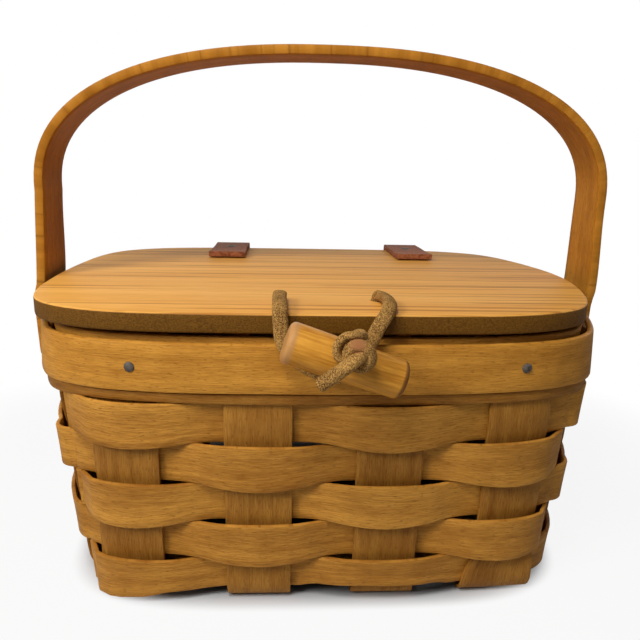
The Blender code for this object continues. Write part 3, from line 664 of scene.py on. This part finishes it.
def weaverPlace(row):
    low = weaver["bottom"] + (row - 1) * weaver["pitch"]

    def bend(stop, across):
        kind, value, signs, number, share, side = stop
        here = 1 if (number + row) % 2 else -1  # outside or inside at the stake before
        if kind == "corner":
            sideHere = here if value == share else -here
            turned = value ** weaver["turnIn"] if sideHere > 0 else value
            phase = sideHere * math.cos(math.pi * turned)
            run = inGap(turned)
        else:
            phase = here * math.cos(math.pi * share)
            run = weaver["onStake"] * abs(side) if share == 0 else inGap(share)
        clear = math.cos(math.pi / 2 * min(1, run))
        offset = weaver["lift"] * phase
        onPlan = onWall(kind, value, signs, low, 0)
        aside = endShare(onPlan)
        if phase > 0:
            offset += weaver["swell"] * clear**2 * (1 - weaver["lessSwell"] * aside)
        if kind == "corner":
            turning = math.sin(math.pi * share)
            offset += weaver["puff" if sideHere < 0 else "cut"][row - 1] * mm * turning**2
            if sideHere < 0:
                offset += weaver["cornerSwell"][row - 1] * mm * max(0, phase) * turning
        lower = (1 - across) / 2
        upper = 1 - lower
        if row == 1:
            drop = 0 if phase > 0 else -weaver["footRise"]
        else:
            drop = weaver["dip"] * (1 - weaver["lessDip"] * aside) if phase > 0 else weaver["reach"]
        rise = weaver["reach"] if row < weaver["rows"] else 0
        level = low + weaver["width"] * upper + clear**1.5 * (rise * upper - drop * lower)
        if row == weaver["rows"]:
            level += weaver["topRise"] * aside * upper
        if row == 1 and signs[1] < 0 and kind != "end":
            level += frontFoot(onPlan.x / mm) * lower
        stand = weaver["lowStand"] * lower**2 + weaver["flare"] * clear * (1 - aside) * upper**2
        offset += max(0, phase) * stand
        spot = onWall(kind, value, signs, level, offset)
        loose = 1 if signs[1] < 0 or kind == "end" else weaver["lessUneven"]
        spot.z += weaver["uneven"] * loose * across * waver(spot, 22, row + 0.4 * across)
        if signs[1] > 0 and kind == "side":
            spot.z += weaver["backRise"] * across
        return spot

    return bend


for row in range(1, weaver["rows"] + 1):
    strip = bentStrip(f"weaver{row}", wallStops, weaverPlace(row), weaver["width"], wall["splint"],
                      weaver["edge"], ring=True, shift=row * weaver["grainStep"])
    settle(strip, "basket", "splint", f"weaver_{row}")
print("weavers made")


# Stakes, the upright splints that cross the base

stake = {
    "top": 103.6 * mm,
    "edge": 0.35 * mm,
    "footBend": 5.4 * mm,
    "crossingMargin": 0.6 * mm,
    "sway": 0.45 * mm,  # away from the weavers
    "uneven": 0.4 * mm,
    "flare": 4 * mm,  # of the front right foot, to the left
    "flareTop": 22 * mm,
    "flatFoot": 0.7,  # how far the front feet stay flat where the wall bends
    "flatTop": 26 * mm,
    "grainStep": 0.83,
    "grainStart": {"cross": 11, "long": 17},
}


def centres(count, pitch):
    return [(k - (count - 1) / 2) * pitch for k in range(count)]


def baseLevel(along, crossings, over):
    low = wall["splint"] / 2
    high = low + wall["splint"] + touch
    levels = [high if isOver else low for isOver in over]
    flat = wall["stakeWidth"] / 2 + stake["crossingMargin"]
    for k, centre in enumerate(crossings):
        if abs(along - centre) <= flat + touch / 2:
            return levels[k]
        if k and crossings[k - 1] + flat < along < centre - flat:
            share = (along - crossings[k - 1] - flat) / (centre - crossings[k - 1] - 2 * flat)
            return levels[k - 1] + (levels[k] - levels[k - 1]) * (1 - math.cos(math.pi * share)) / 2
    return low


def makeStake(kind, number):
    crossCentres = centres(wall["crossStakes"], wall["crossPitch"])
    longCentres = centres(wall["longStakes"], wall["longPitch"])
    centre = (crossCentres if kind == "cross" else longCentres)[number - 1]
    crossings = longCentres if kind == "cross" else crossCentres
    odd = 1 if kind == "cross" else 0
    over = [(number + k + 1) % 2 == odd for k in range(len(crossings))]
    # numbers of its two ends round the wall: 0 to 3 in front, 7 to 10 at the back
    ringNumbers = {-1: number - 1, 1: 11 - number} if kind == "cross" else {1: 3 + number, -1: 14 - number}
    foot = stake["footBend"] + wall["splint"] / 2
    reach = crossings[-1] + wall["stakeWidth"] / 2 + stake["crossingMargin"]
    half = [("base", at) for at in spread(0, reach, 26)]
    half += [("bend", turn) for turn in spread(math.pi / 2, 0, 6)[:-1]]
    half += [("wall", level) for level in spread(foot, stake["top"], 34)]
    stops = [(-1, *stop) for stop in half[:0:-1]] + [(1, *stop) for stop in half]

    def bend(stop, across):
        end, step, value = stop
        at = centre + across * wall["stakeWidth"] / 2
        inFront = kind == "cross" and end < 0 and step != "base"
        height = value if step == "wall" else 0
        if inFront and number == wall["crossStakes"]:
            at -= stake["flare"] * (1 - across) / 2 * (1 - ease(height, foot, stake["flareTop"]))
        sign = 1 if at >= 0 else -1
        signs = (sign, end) if kind == "cross" else (end, sign)
        wallKind = "side" if kind == "cross" else "end"
        flat = stake["flatFoot"] if inFront else 0
        near = at - flat * across * wall["stakeWidth"] / 2 * (1 - ease(height, foot, stake["flatTop"]))
        if step == "base":
            spot = (at, end * value) if kind == "cross" else (end * value, at)
            return Vector((*spot, baseLevel(end * value, crossings, over)))
        if step == "bend":
            outer = onWall(wallKind, abs(near), signs, foot, 0)
            inner = onWall(wallKind, abs(near), signs, foot, -stake["footBend"])
            spoke = (outer - inner) * math.cos(value)
            spot = inner + spoke - Vector((0, 0, stake["footBend"] * math.sin(value)))
            spot.x += at - near
            return spot
        rows = (value - weaver["bottom"]) / weaver["pitch"]
        here = 1 if (ringNumbers[end] + int(rows) + 1) % 2 else -1
        sway = -here * stake["sway"] * math.sin(math.pi * (rows % 1)) if 0 < rows < weaver["rows"] else 0
        spot = onWall(wallKind, abs(near), signs, value, sway)
        spot.x += at - near
        side = 0 if kind == "cross" else 1
        spot[side] += stake["uneven"] * across * waver(spot, 30, number + 3 * end + across * 0.3)
        return spot

    shift = number * stake["grainStep"] + stake["grainStart"][kind]
    strip = bentStrip(f"{kind}Stake{number}", stops, bend, wall["stakeWidth"], wall["splint"],
                      stake["edge"], shift=shift)
    settle(strip, "basket", "splint", f"{kind}_stake_{number}")


for kind, count in (("cross", wall["crossStakes"]), ("long", wall["longStakes"])):
    for number in range(1, count + 1):
        makeStake(kind, number)
print("stakes made")


# Rim: trim splint, outer band, inner band

rim = {
    "trim": {"top": 86.1 * mm, "width": 3.7 * mm, "thick": 1.2 * mm, "edge": 0.3 * mm, "grain": 23},
    "outer": {"top": wall["rim"], "width": 18 * mm, "thick": 2.4 * mm, "edge": 0.8 * mm, "grain": 27},
    "inner": {"top": 105.8 * mm, "width": 19.9 * mm, "thick": 2.2 * mm, "edge": 0.6 * mm, "grain": 31},
    "innerClear": 0.5 * mm,
    "innerRise": 1.6 * mm,  # at the ends and the back
    "innerRiseFrom": (-62 * mm, -44 * mm),  # between these places, from front to back
    "lower": 0.8 * mm,  # lower edges of the inner band and the trim at the ends
    "uneven": 0.25 * mm,
    "stand": (-0.4 * mm, 2.1 * mm),  # away from the wall at the ends: upper and lower edge
    "nailLevel": 95.4 * mm,
}


def rimRing(which, name, slotName, node, across=4):
    ring = rim[which]
    inside = which == "inner"
    offset = wall["splint"] / 2 + (rim["innerClear"] if inside else touch) + ring["thick"] / 2

    def bend(stop, side):
        kind, value, signs = stop[:3]
        level = ring["top"] - ring["width"] * (1 - side) / 2
        around = onWall(kind, value, signs, wall["rim"], 0)
        if inside:
            level += rim["innerRise"] * (1 + side) / 2 * ease(around.y, *rim["innerRiseFrom"])
        if which != "outer":
            level -= rim["lower"] * (1 - side) / 2 * endShare(around)
        away = -offset
        if not inside:
            high, low = rim["stand"]
            down = min(1, (wall["rim"] - level) / rim["outer"]["width"])
            away = offset + (high + (low - high) * down) * endShare(onWall(kind, value, signs, level, 0))
        spot = onWall(kind, value, signs, level, away)
        spot.z += rim["uneven"] * waver(spot, 16, ring["grain"] + side) * (1 if side < 0 else 0.5)
        return spot

    strip = bentStrip(name, wallStops, bend, ring["width"], ring["thick"], ring["edge"], across=across,
                      ring=True, shift=ring["grain"])
    settle(strip, "basket", slotName, node)


rimRing("trim", "trimSplint", "splint", "trim_splint", across=2)
rimRing("outer", "outerRimBand", "band", "outer_rim_band")
rimRing("inner", "innerRimBand", "band", "inner_rim_band")
bandFace = wall["splint"] / 2 + touch + rim["outer"]["thick"]
print("rim made")


# Handle

handle = {
    "width": 23.4 * mm,
    "thick": 3.8 * mm,
    "edge": 0.9 * mm,
    "middle": -2 * mm,
    "lean": math.radians(2.6),
    "foot": 80 * mm,
    "archLevel": 149.2 * mm,
    "archHalf": 118.7 * mm,
    "archRise": 58.5 * mm,
    "archShift": 2.3 * mm,
    "roundness": 2.365,
    "low": (112 * mm, 150 * mm),  # between these the legs widen and move to the right, going down
    "lowWidth": 26.2 * mm,
    "lowShift": 1.1 * mm,
    "standLimit": 1.3,  # how far down the legs go on leaning out, as a share of the band's width
    "uneven": 0.25 * mm,
    "grain": 37,
}


def archShare(level):
    return min(1, max(0, level - wall["rim"]) / (handle["archLevel"] - wall["rim"]))


def legPlace(level):
    seat = onWall("end", 0, (1, 1), min(level, wall["rim"]), 0).x
    high, low = rim["stand"]
    seat += bandFace + touch + handle["thick"] / 2
    down = max(0, wall["rim"] - level) / rim["outer"]["width"]
    seat += high + (low - high) * min(handle["standLimit"], down)
    return seat + (handle["archHalf"] - handle["thick"] / 2 - seat) * archShare(level)


def legShare(level):
    return 1 - ease(level, *handle["low"])


def handlePath():
    leg = spread(handle["foot"], wall["rim"], 8)[:-1] + spread(wall["rim"], handle["archLevel"], 14)[:-1]
    right = [(legPlace(level), level) for level in leg]
    half, rise = handle["archHalf"] - handle["thick"] / 2, handle["archRise"] - handle["thick"] / 2
    power = 2 / handle["roundness"]
    arch = []
    for turn in spread(0, math.pi, 72):
        x, z = math.cos(turn), max(0, math.sin(turn))
        arch.append((math.copysign(abs(x) ** power, x) * half, handle["archLevel"] + rise * z**power))
    path = []
    for x, z in right + arch + [(-x, z) for x, z in right[::-1]]:
        lowShift = handle["lowShift"] * legShare(z) * ease(z, wall["rim"], handle["low"][0])
        path.append((x + handle["archShift"] * archShare(z) + lowShift, z))
    return path


def handleMiddle(level):
    return handle["middle"] - math.tan(handle["lean"]) * (level - wall["rim"])


def handleBend(stop, side):
    x, z = stop
    spot = Vector((x, handleMiddle(z), z))
    half = (handle["width"] + (handle["lowWidth"] - handle["width"]) * legShare(z)) / 2
    spot.y += side * (half + handle["uneven"] * waver(spot, 14, 7 * side))
    return spot


strip = bentStrip("handle", handlePath(), handleBend, handle["width"], handle["thick"], handle["edge"],
                  shift=handle["grain"])
settle(strip, "basket", "handle_wood", "handle")
print("handle made")


# Lid

lid = {
    "under": 107.7 * mm,
    "thick": 7 * mm,
    "edge": 0.8 * mm,
    "middle": 1.2 * mm,
    "back": 80.5 * mm,
    "leftPlan": ((0, 79.3), (45, 78.8), (68, 76.9), (83, 73.2), (94.6, 67.2), (102.2, 59.9),
                 (106.7, 50.8), (109.7, 37.6), (110.9, 24), (111.7, 10), (111.8, 0)),
    "rightPlan": ((0, 79.3), (45, 78.8), (67, 76.6), (82, 71.9), (92.5, 65.0), (98.6, 56.6),
                  (102.6, 47.4), (106.6, 34.5), (109.6, 21), (111.3, 9), (111.6, 0)),
    "holes": ((-16.6, -56.6), (19.6, -55.4)),
    "holeRadius": 2.9 * mm,
    "drill": 20 * mm,
}
lidTop = lid["under"] + lid["thick"]


def lidOutline(steps=26):  # round from the left end by the front, in quarters
    quarters = ((lid["leftPlan"], -1, -1, True), (lid["rightPlan"], 1, -1, False),
                (lid["rightPlan"], 1, 1, True), (lid["leftPlan"], -1, 1, False))
    outline = []
    for points, signX, signY, backwards in quarters:
        for share in spread(0, 1, steps)[:-1]:
            turn = (len(points) - 1) * (1 - share if backwards else share)
            spot, _ = onCurve(points, turn)
            outline.append((signX * spot.x, signY * spot.y + lid["middle"]))
    return outline


def makeLid():
    outline = lidOutline()
    clearSelection()
    bpy.ops.mesh.primitive_circle_add(vertices=len(outline), radius=1, fill_type="NGON")
    obj = named("lid")
    turns = [math.atan2(v.co.y, v.co.x) % (2 * math.pi) for v in obj.data.vertices]
    order = sorted(range(len(outline)), key=lambda k: turns[k])
    for k, (x, y) in zip(order, outline):
        obj.data.vertices[k].co = (x, y, lid["under"])
    pickFaces(obj, lambda centre, normal: True)
    bpy.ops.mesh.extrude_region_move(TRANSFORM_OT_translate={"value": (0, 0, lid["thick"])})
    bpy.ops.mesh.select_all(action="SELECT")
    bpy.ops.mesh.normals_make_consistent(inside=False)
    bpy.ops.object.mode_set(mode="OBJECT")
    useModifier(obj, "BEVEL", width=lid["edge"], segments=3, angle_limit=math.radians(50))
    for x, y in lid["holes"]:
        clearSelection()
        middle = (x * mm, y * mm, lid["under"] + lid["thick"] / 2)
        bpy.ops.mesh.primitive_cylinder_add(vertices=32, radius=lid["holeRadius"], depth=lid["drill"],
                                            location=middle)
        drill = bpy.context.object
        useModifier(obj, "BOOLEAN", object=drill, operation="DIFFERENCE", solver="EXACT")
        bpy.data.objects.remove(drill)
    smoothUnder(obj, 30)
    return obj


settle(makeLid(), "lid", "lid_wood", "lid")
print("lid made")


# Leather hinge straps

strap = {
    "width": 18 * mm,
    "thick": 2.6 * mm,
    "onLid": 40 * mm,
    "drop": 25 * mm,
    "edge": 0.7 * mm,
    "places": {"left": (-44.6 * mm, 0), "right": (51.0 * mm, 0.9 * mm)},  # and shift of the front end
    "tackShare": 0.62,  # of the length on the lid, from its front end
    "dent": 0.28 * mm,  # round the tacks
    "dentSize": 3.2 * mm,
    "lift": 0.5 * mm,  # of its front end
    "liftLength": 10 * mm,
    "uneven": 0.25 * mm,
}


def strapStops():
    # y, z and which of the two points out of the strap
    radius = strap["thick"] / 2
    rest = touch + radius
    start, back = lid["back"] - strap["onLid"], lid["back"] + touch
    stops = [(y, lidTop + rest, 0, 1) for y in spread(start, back, 24)[:-1]]
    for turn in spread(0, math.pi / 2, 6):
        stops.append((back + radius * math.sin(turn), lidTop + touch + radius * math.cos(turn), 0, 0))
    low = lidTop - strap["drop"]
    stops += [(lid["back"] + rest, z, 1, 0) for z in spread(lidTop + touch, low, 16)[1:]]
    return stops


def makeStrap(hand):
    centre, shift = strap["places"][hand]
    start = lid["back"] - strap["onLid"]
    tackY = lid["back"] - strap["onLid"] * (1 - strap["tackShare"])

    def bend(stop, side):
        y, z, outY, outZ = stop
        x = centre + shift * max(0, (lid["back"] - y) / strap["onLid"])
        x += side * (strap["width"] / 2 + strap["uneven"] * waver(Vector((y, z, side)), 60, centre * 50))
        away = math.hypot(side * strap["width"] / 2, y - tackY if outZ else z - rim["nailLevel"])
        dent = strap["dent"] * math.exp(-((away / strap["dentSize"]) ** 2))
        lift = strap["lift"] * (1 - ease(y, start, start + strap["liftLength"])) if outZ else 0
        return Vector((x, y - outY * dent, z + outZ * (lift - dent)))

    obj = bentStrip(f"hingeStrap{hand.title()}", strapStops(), bend, strap["width"], strap["thick"],
                    strap["edge"], across=10)
    settle(obj, None, "strap_leather", f"hinge_strap_{hand}")
    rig.blend(obj, "basket", "lid", (centre, 82 * mm, 105.5 * mm), (centre, 82 * mm, 114.5 * mm))


for hand in strap["places"]:
    makeStrap(hand)
print("straps made")


# Nails and tacks

nail = {
    "radius": 1.85 * mm,
    "height": 0.9 * mm,
    "brim": 0.25 * mm,  # of the height, straight up at the edge
    "dome": ((0.12, 0.45), (0.2, 0.3), (0.25, 0.18), (0.25, 0.07)),  # steps in and up, as shares
    "shank": 0.8 * mm,
    "depth": 6 * mm,
    "places": {"left": -66.2 * mm, "right": 69.3 * mm},
}
tack = {
    "radius": 2.4 * mm,
    "rimDepth": 9 * mm,
    "rimSunk": 0.3 * mm,
    "lidDepth": 6 * mm,
    "lidSunk": 0.35 * mm,
}


def stud(name, point, direction, radius, depth, body, node):
    clearSelection()
    brim = nail["brim"]
    seat = (0, 0, touch + brim / 2)
    bpy.ops.mesh.primitive_cylinder_add(vertices=28, radius=radius, depth=brim, location=seat)
    obj = named(name)
    pickFaces(obj, lambda centre, normal: normal.z > 0.9)
    for share, rise in nail["dome"]:
        bpy.ops.mesh.inset(thickness=share * radius)
        bpy.ops.transform.translate(value=(0, 0, rise * (nail["height"] - brim)))
    pickFaces(obj, lambda centre, normal: normal.z < -0.9)
    bpy.ops.mesh.inset(thickness=radius - nail["shank"])
    bpy.ops.mesh.extrude_region_move(TRANSFORM_OT_translate={"value": (0, 0, -depth)})
    bpy.ops.object.mode_set(mode="OBJECT")
    turn = Vector((0, 0, 1)).rotation_difference(direction).to_matrix().to_4x4()
    placeIn(obj, point, turn)
    smoothUnder(obj, 35)
    settle(obj, body, "steel", node)


def wallNormal(kind, value, signs):
    high = onWall(kind, value, signs, rim["nailLevel"], 0)
    low = onWall(kind, value, signs, rim["nailLevel"] - weaver["pitch"], 0)
    out = onWall(kind, value, signs, rim["nailLevel"], mm) - high
    rise = high - low
    return (out - rise * out.dot(rise) / rise.length_squared).normalized()


for word, end in (("front", -1), ("back", 1)):
    for hand, x in nail["places"].items():
        spot = ("side", abs(x), (1 if x > 0 else -1, end))
        stud(f"bandNail{word.title()}{hand.title()}", onWall(*spot, rim["nailLevel"], bandFace),
             wallNormal(*spot), nail["radius"], nail["depth"], "basket", f"band_nail_{word}_{hand}")
for hand, sign in (("left", -1), ("right", 1)):
    outer = legPlace(rim["nailLevel"]) + handle["thick"] / 2
    stud(f"handleNail{hand.title()}", Vector((sign * outer, handle["middle"], rim["nailLevel"])),
         wallNormal("end", 0, (sign, -1)), nail["radius"], nail["depth"] + handle["thick"],
         "basket", f"handle_nail_{hand}")
for hand, (centre, shift) in strap["places"].items():
    outer = touch + strap["thick"]
    point = Vector((centre, lid["back"] + outer - tack["rimSunk"], rim["nailLevel"]))
    stud(f"rimTack{hand.title()}", point, Vector((0, 1, 0)), tack["radius"], tack["rimDepth"],
         "basket", f"rim_tack_{hand}")
    share = 1 - strap["tackShare"]
    y = lid["back"] - strap["onLid"] * share
    point = Vector((centre + shift * share, y, lidTop + outer - tack["lidSunk"]))
    stud(f"lidTack{hand.title()}", point, Vector((0, 0, 1)), tack["radius"], tack["lidDepth"],
         "lid", f"lid_tack_{hand}")
print("nails and tacks made")


# Laces: the loop on the lid, the toggle's lace and the knots

lace = {
    "wide": 2.45 * mm,  # half sizes
    "thick": 1.9 * mm,
    "squareness": 1.55,  # 1 is round
    "uneven": 0.1 * mm,
    "unevenSize": 0.07,  # as a share
    "loop": ((-16.6, -56.6, 107), (-16.6, -56.6, 111), (-16.6, -56.6, 114.4), (-16.6, -57.3, 116.2),
             (-16.6, -59.4, 117.0), (-16.6, -64, 117.1), (-16.5, -70, 117.1), (-16.4, -75.2, 117.1),
             (-16.3, -78.6, 116.6), (-16.2, -80.8, 114.8), (-16, -81.6, 112), (-15.5, -82.6, 107.6),
             (-13.4, -83, 103.2), (-9.6, -83, 99.6), (-5.2, -83, 96.9), (-0.6, -83, 95.2), (4, -83, 94.8),
             (8.2, -83, 96.2), (10.9, -83, 99.4), (12.4, -83, 103.4), (14.4, -82.6, 107.6),
             (16.6, -81.6, 112), (18.5, -80.8, 114.7), (19.6, -78.6, 116.4), (20.6, -75.2, 116.9),
             (21.4, -69.6, 117.0), (21.3, -63, 117.0), (20.4, -57.9, 116.6), (19.8, -56, 115.8),
             (19.6, -55.4, 114.2), (19.6, -55.4, 111), (19.6, -55.4, 107)),
    "stem": ((5, -73, 97.2), (5, -76.5, 97.4), (5, -79.8, 98.4), (5, -82, 99.4), (4.8, -83, 101.0),
             (4.5, -83.6, 104.2)),
    "toggleLace": ((4.3, -86.6, 100.5), (4.6, -86.3, 104.5), (5.8, -87.4, 108.6), (7.6, -90.4, 111.4),
                   (8.8, -94.6, 112.6), (8.8, -98.4, 112.8), (7.8, -101.4, 113.4), (5.4, -103.2, 114.3),
                   (3.0, -103.8, 114.0), (1.4, -103.9, 112.2), (1.1, -103.8, 109.8), (2.2, -103.7, 107.6),
                   (5.2, -103.6, 106.0)),
    "hitchPart": ((5.2, -103.6, 105.6), (4.2, -104.0, 108.0), (4.5, -104.6, 110.2), (6.0, -105.2, 111.6),
                  (8.2, -105.5, 111.6), (10.0, -105.5, 110.2), (10.5, -105.3, 108.2), (9.9, -105.0, 106.2),
                  (8.4, -104.4, 105.1), (6.4, -103.6, 105.4)),
    "tailPart": ((8.6, -103.6, 109.4), (7.3, -106.3, 109.0), (5.0, -107.2, 107.3), (2.0, -107.2, 104.9),
                 (-1.4, -106.7, 102.2), (-4.2, -106.2, 100.0)),
    # half sizes and tilt
    "parts": {"toggleLace": (1.25 * mm, 1.8 * mm, 0), "hitchPart": (2.0 * mm, 1.9 * mm, 0),
              "tailPart": (2.3 * mm, 1.9 * mm, 0.4)},
}
knot = {
    "size": 3.8 * mm,
    "ring": 0.5,  # shares of the size
    "cord": 0.46,
    "core": 0.62,
    "turn": 0.6,
    "uneven": 0.3 * mm,
    "loopKnotLeft": ((-16.6, -56.6, 102.9), "lid", "loop_knot_left"),
    "loopKnotRight": ((19.6, -55.4, 102.9), "lid", "loop_knot_right"),
    "stemKnot": ((5.0, -68.9, 97.2), "basket", "stem_knot"),
}


def smoothRoute(route, steps=6):
    points = [Vector(p) * mm for p in route]
    points = [points[0] * 2 - points[1]] + points + [points[-1] * 2 - points[-2]]
    found = []
    for k in range(1, len(points) - 2):
        found += [betweenFour(*points[k - 1 : k + 3], t)[0] for t in spread(0, 1, steps)[:-1]]
    return found + [points[-2]]


def makeLace(name, route, wide=lace["wide"], thick=lace["thick"], tilt=0.0):
    path = smoothRoute(route)
    clearSelection()
    bpy.ops.curve.primitive_bezier_circle_add(radius=1)
    section = bpy.context.object
    for point in section.data.splines[0].bezier_points:  # squarer than round, as cut from a hide
        point.handle_left_type = point.handle_right_type = "FREE"
        point.handle_left = point.co + (point.handle_left - point.co) * lace["squareness"]
        point.handle_right = point.co + (point.handle_right - point.co) * lace["squareness"]
        for place in (point.co, point.handle_left, point.handle_right):
            place.x, place.y = place.x * wide, place.y * thick
    section.data.resolution_u = 4
    curve = bpy.data.curves.new(name, "CURVE")
    curve.dimensions = "3D"
    spline = curve.splines.new("POLY")
    spline.points.add(len(path) - 1)
    for point, place in zip(spline.points, path):
        point.co = (*place, 1)
        point.radius = 1 + lace["unevenSize"] * waver(place, 160, len(path))
        point.tilt = tilt
    curve.bevel_mode = "OBJECT"
    curve.bevel_object = section
    curve.use_fill_caps = True
    obj = bpy.data.objects.new(name, curve)
    bpy.context.scene.collection.objects.link(obj)
    pickOnly(obj)
    bpy.ops.object.convert(target="MESH")
    bpy.data.objects.remove(section)
    obj = named(name)
    pickFaces(obj, lambda centre, normal: True)
    bpy.ops.mesh.remove_doubles(threshold=0.01 * mm)
    bpy.ops.mesh.normals_make_consistent(inside=False)
    bpy.ops.object.mode_set(mode="OBJECT")
    for vertex in obj.data.vertices:
        vertex.co += vertex.normal * lace["uneven"] * waver(vertex.co, 700, 3)
    smoothUnder(obj, 60)
    return obj, path


def joined(objects):
    pickOnly(objects[0])
    for obj in objects[1:]:
        obj.select_set(True)
    bpy.ops.object.join()
    return objects[0]


def lumpKnot(name, middle, body, node):
    clearSelection()
    size = knot["size"]
    bpy.ops.mesh.primitive_torus_add(major_segments=28, minor_segments=12,
                                     major_radius=size * knot["ring"], minor_radius=size * knot["cord"])
    obj = named(name)
    clearSelection()
    bpy.ops.mesh.primitive_uv_sphere_add(segments=20, ring_count=12, radius=size * knot["core"])
    joined([obj, bpy.context.object])
    for vertex in obj.data.vertices:
        vertex.co += vertex.co.normalized() * knot["uneven"] * waver(vertex.co, 300, size * 900)
    placeIn(obj, Vector(middle) * mm, Matrix.Rotation(knot["turn"], 4, "X"))
    smoothUnder(obj, 60)
    settle(obj, body, "lace_leather", node)


loop, loopPath = makeLace("closureLoop", lace["loop"])
settle(loop, "lid", "lace_leather", "closure_loop")
loopLength = sum((after - before).length for before, after in zip(loopPath, loopPath[1:]))
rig.cord(loop, loopPath[0], loopLength, 2 * lace["wide"], "object", "limp", "hanging", path=loopPath)

stem, _ = makeLace("toggleLaceStem", lace["stem"])
settle(stem, "basket", "lace_leather", "toggle_lace_stem")

parts = [makeLace(name, lace[name], *size)[0] for name, size in lace["parts"].items()]
settle(joined(parts), "toggle", "lace_leather", "toggle_lace")

for name in ("loopKnotLeft", "loopKnotRight", "stemKnot"):
    lumpKnot(name, *knot[name])
print("laces made")


# Toggle

toggle = {
    "radius": 6.6 * mm,
    "taper": 0.035,  # wider at the left, narrower at the right
    "length": 39.4 * mm,
    "edge": 1.9 * mm,
    "tilt": math.radians(18.7),  # right end down
    "place": Vector((4.3, -94.7, 103.9)) * mm,
}


def makeToggle():
    clearSelection()
    bpy.ops.mesh.primitive_cylinder_add(vertices=56, radius=toggle["radius"], depth=toggle["length"])
    obj = named("toggle")
    useModifier(obj, "BEVEL", width=toggle["edge"], segments=5, angle_limit=math.radians(60))
    mesh = obj.data
    for vertex in mesh.vertices:
        share = 1 - toggle["taper"] * vertex.co.z * 2 / toggle["length"]
        vertex.co.x, vertex.co.y = vertex.co.x * share, vertex.co.y * share
    grain = mesh.uv_layers.active
    grain.name = "grain"
    for polygon in mesh.polygons:
        first = math.atan2(polygon.center.y, polygon.center.x)
        for index in polygon.loop_indices:
            spot = mesh.vertices[mesh.loops[index].vertex_index].co
            turn = math.atan2(spot.y, spot.x) - first
            turn = first + (turn + math.pi) % (2 * math.pi) - math.pi
            grain.data[index].uv = (spot.z, turn * toggle["radius"])
    placeIn(obj, toggle["place"], Matrix.Rotation(toggle["tilt"] + math.pi / 2, 4, "Y"))
    smoothUnder(obj, 30)
    return obj


settle(makeToggle(), "toggle", "toggle_wood", "toggle")
print("toggle made")


# Floor, background and light

studio = {
    "key": ((-0.50, -0.45, 0.50), 0.24, 3.12),  # place, size, power
    "overhead": ((-0.10, -0.30, 0.50), 0.16, 1.35),
    "fill": ((0.35, -0.9, 0.35), 0.6, 0.2),
    "behind": ((-0.15, 0.85, 0.10), 0.16, 0.8),  # low and without gloss, for the views of the back
    "aim": Vector((0, 0, 0.08)),
    "surround": 0.1,
    "floorLevel": -0.05 * mm,
    "footprint": (1 / 0.105, 1 / 0.078, 1),
    "paper": 0.6,
    # painted shade: the paper's colour under the basket, a painted contact shadow
    "underneath": 0.06,
    "paperFrom": (0.35, 0.75),  # away from the basket's middle, where 1 is just outside its foot; nearer in, the paper is darkened with painted shade
    "glowFrom": (0.64, 1.05),
    "glow": 0.9,
    "farFrom": (3, 40),
    "farGlow": 0.1,
}
for name in ("key", "overhead", "fill", "behind"):
    place, size, power = studio[name]
    clearSelection()
    bpy.ops.object.light_add(type="AREA", location=place)
    lamp = named(f"{name}Lamp")
    lamp.data.shape = "DISK"
    lamp.data.size = size
    lamp.data.energy = power
    lamp.rotation_euler = (studio["aim"] - Vector(place)).to_track_quat("-Z", "Y").to_euler()
    lamp.visible_camera = False
    lamp.visible_glossy = name != "behind"

clearSelection()
bpy.ops.mesh.primitive_plane_add(size=12, location=(0, 0, studio["floorLevel"]))
floor = named("floor")
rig.stage(floor)
paper = Finish("paper", 0.9)
scaled = paper.stretched(paper.place(), studio["footprint"])
across, along = (paper.node("ShaderNodeSeparateXYZ", {}, {"Vector": scaled}, axis) for axis in "XY")
away = across * across * across * across + along * along * along * along
dark, light = ((studio[key],) * 3 for key in ("underneath", "paper"))
# painted shade under the basket, fading into the paper's own colour
paper.feed("Base Color", paper.blend(away.between(*studio["paperFrom"]), dark, light))
rays = paper.node("ShaderNodeLightPath", {}, {}, "Is Camera Ray")
glow = paper.node("ShaderNodeEmission", {}, {"Color": (1, 1, 1, 1), "Strength": 1.0})
bare = Wire(paper, paper.shader.outputs[0])
lit = away.between(*studio["glowFrom"]) * studio["glow"]
lit = lit + away.between(*studio["farFrom"]) * studio["farGlow"]
mixed = paper.node("ShaderNodeMixShader", {}, {0: rays * lit, 1: bare, 2: glow})
paper.tree.links.new(mixed.socket, paper.tree.nodes["Material Output"].inputs["Surface"])
floor.data.materials.append(paper.material)

world = bpy.data.worlds.new("studio")
bpy.context.scene.world = world
world.use_nodes = True
tree = world.node_tree
soft, white = tree.nodes["Background"], tree.nodes.new("ShaderNodeBackground")
for background, strength in ((soft, studio["surround"]), (white, 1.0)):
    background.inputs["Color"].default_value = (1, 1, 1, 1)
    background.inputs["Strength"].default_value = strength
seen = tree.nodes.new("ShaderNodeLightPath")
anyOf = seen.outputs["Is Camera Ray"]
for other in ("Is Glossy Ray", "Is Transmission Ray"):
    either = tree.nodes.new("ShaderNodeMath")
    either.operation = "MAXIMUM"
    tree.links.new(anyOf, either.inputs[0])
    tree.links.new(seen.outputs[other], either.inputs[1])
    anyOf = either.outputs[0]
choice = tree.nodes.new("ShaderNodeMixShader")
tree.links.new(anyOf, choice.inputs[0])
tree.links.new(soft.outputs[0], choice.inputs[1])
tree.links.new(white.outputs[0], choice.inputs[2])
tree.links.new(choice.outputs[0], tree.nodes["World Output"].inputs["Surface"])
bpy.context.scene.view_settings.view_transform = "Standard"
print("studio made")

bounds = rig.bounds()
with open("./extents.json", "w") as record:
    json.dump({"cad": [list(c) for c in cadBounds], "scene": [list(c) for c in bounds]}, record)
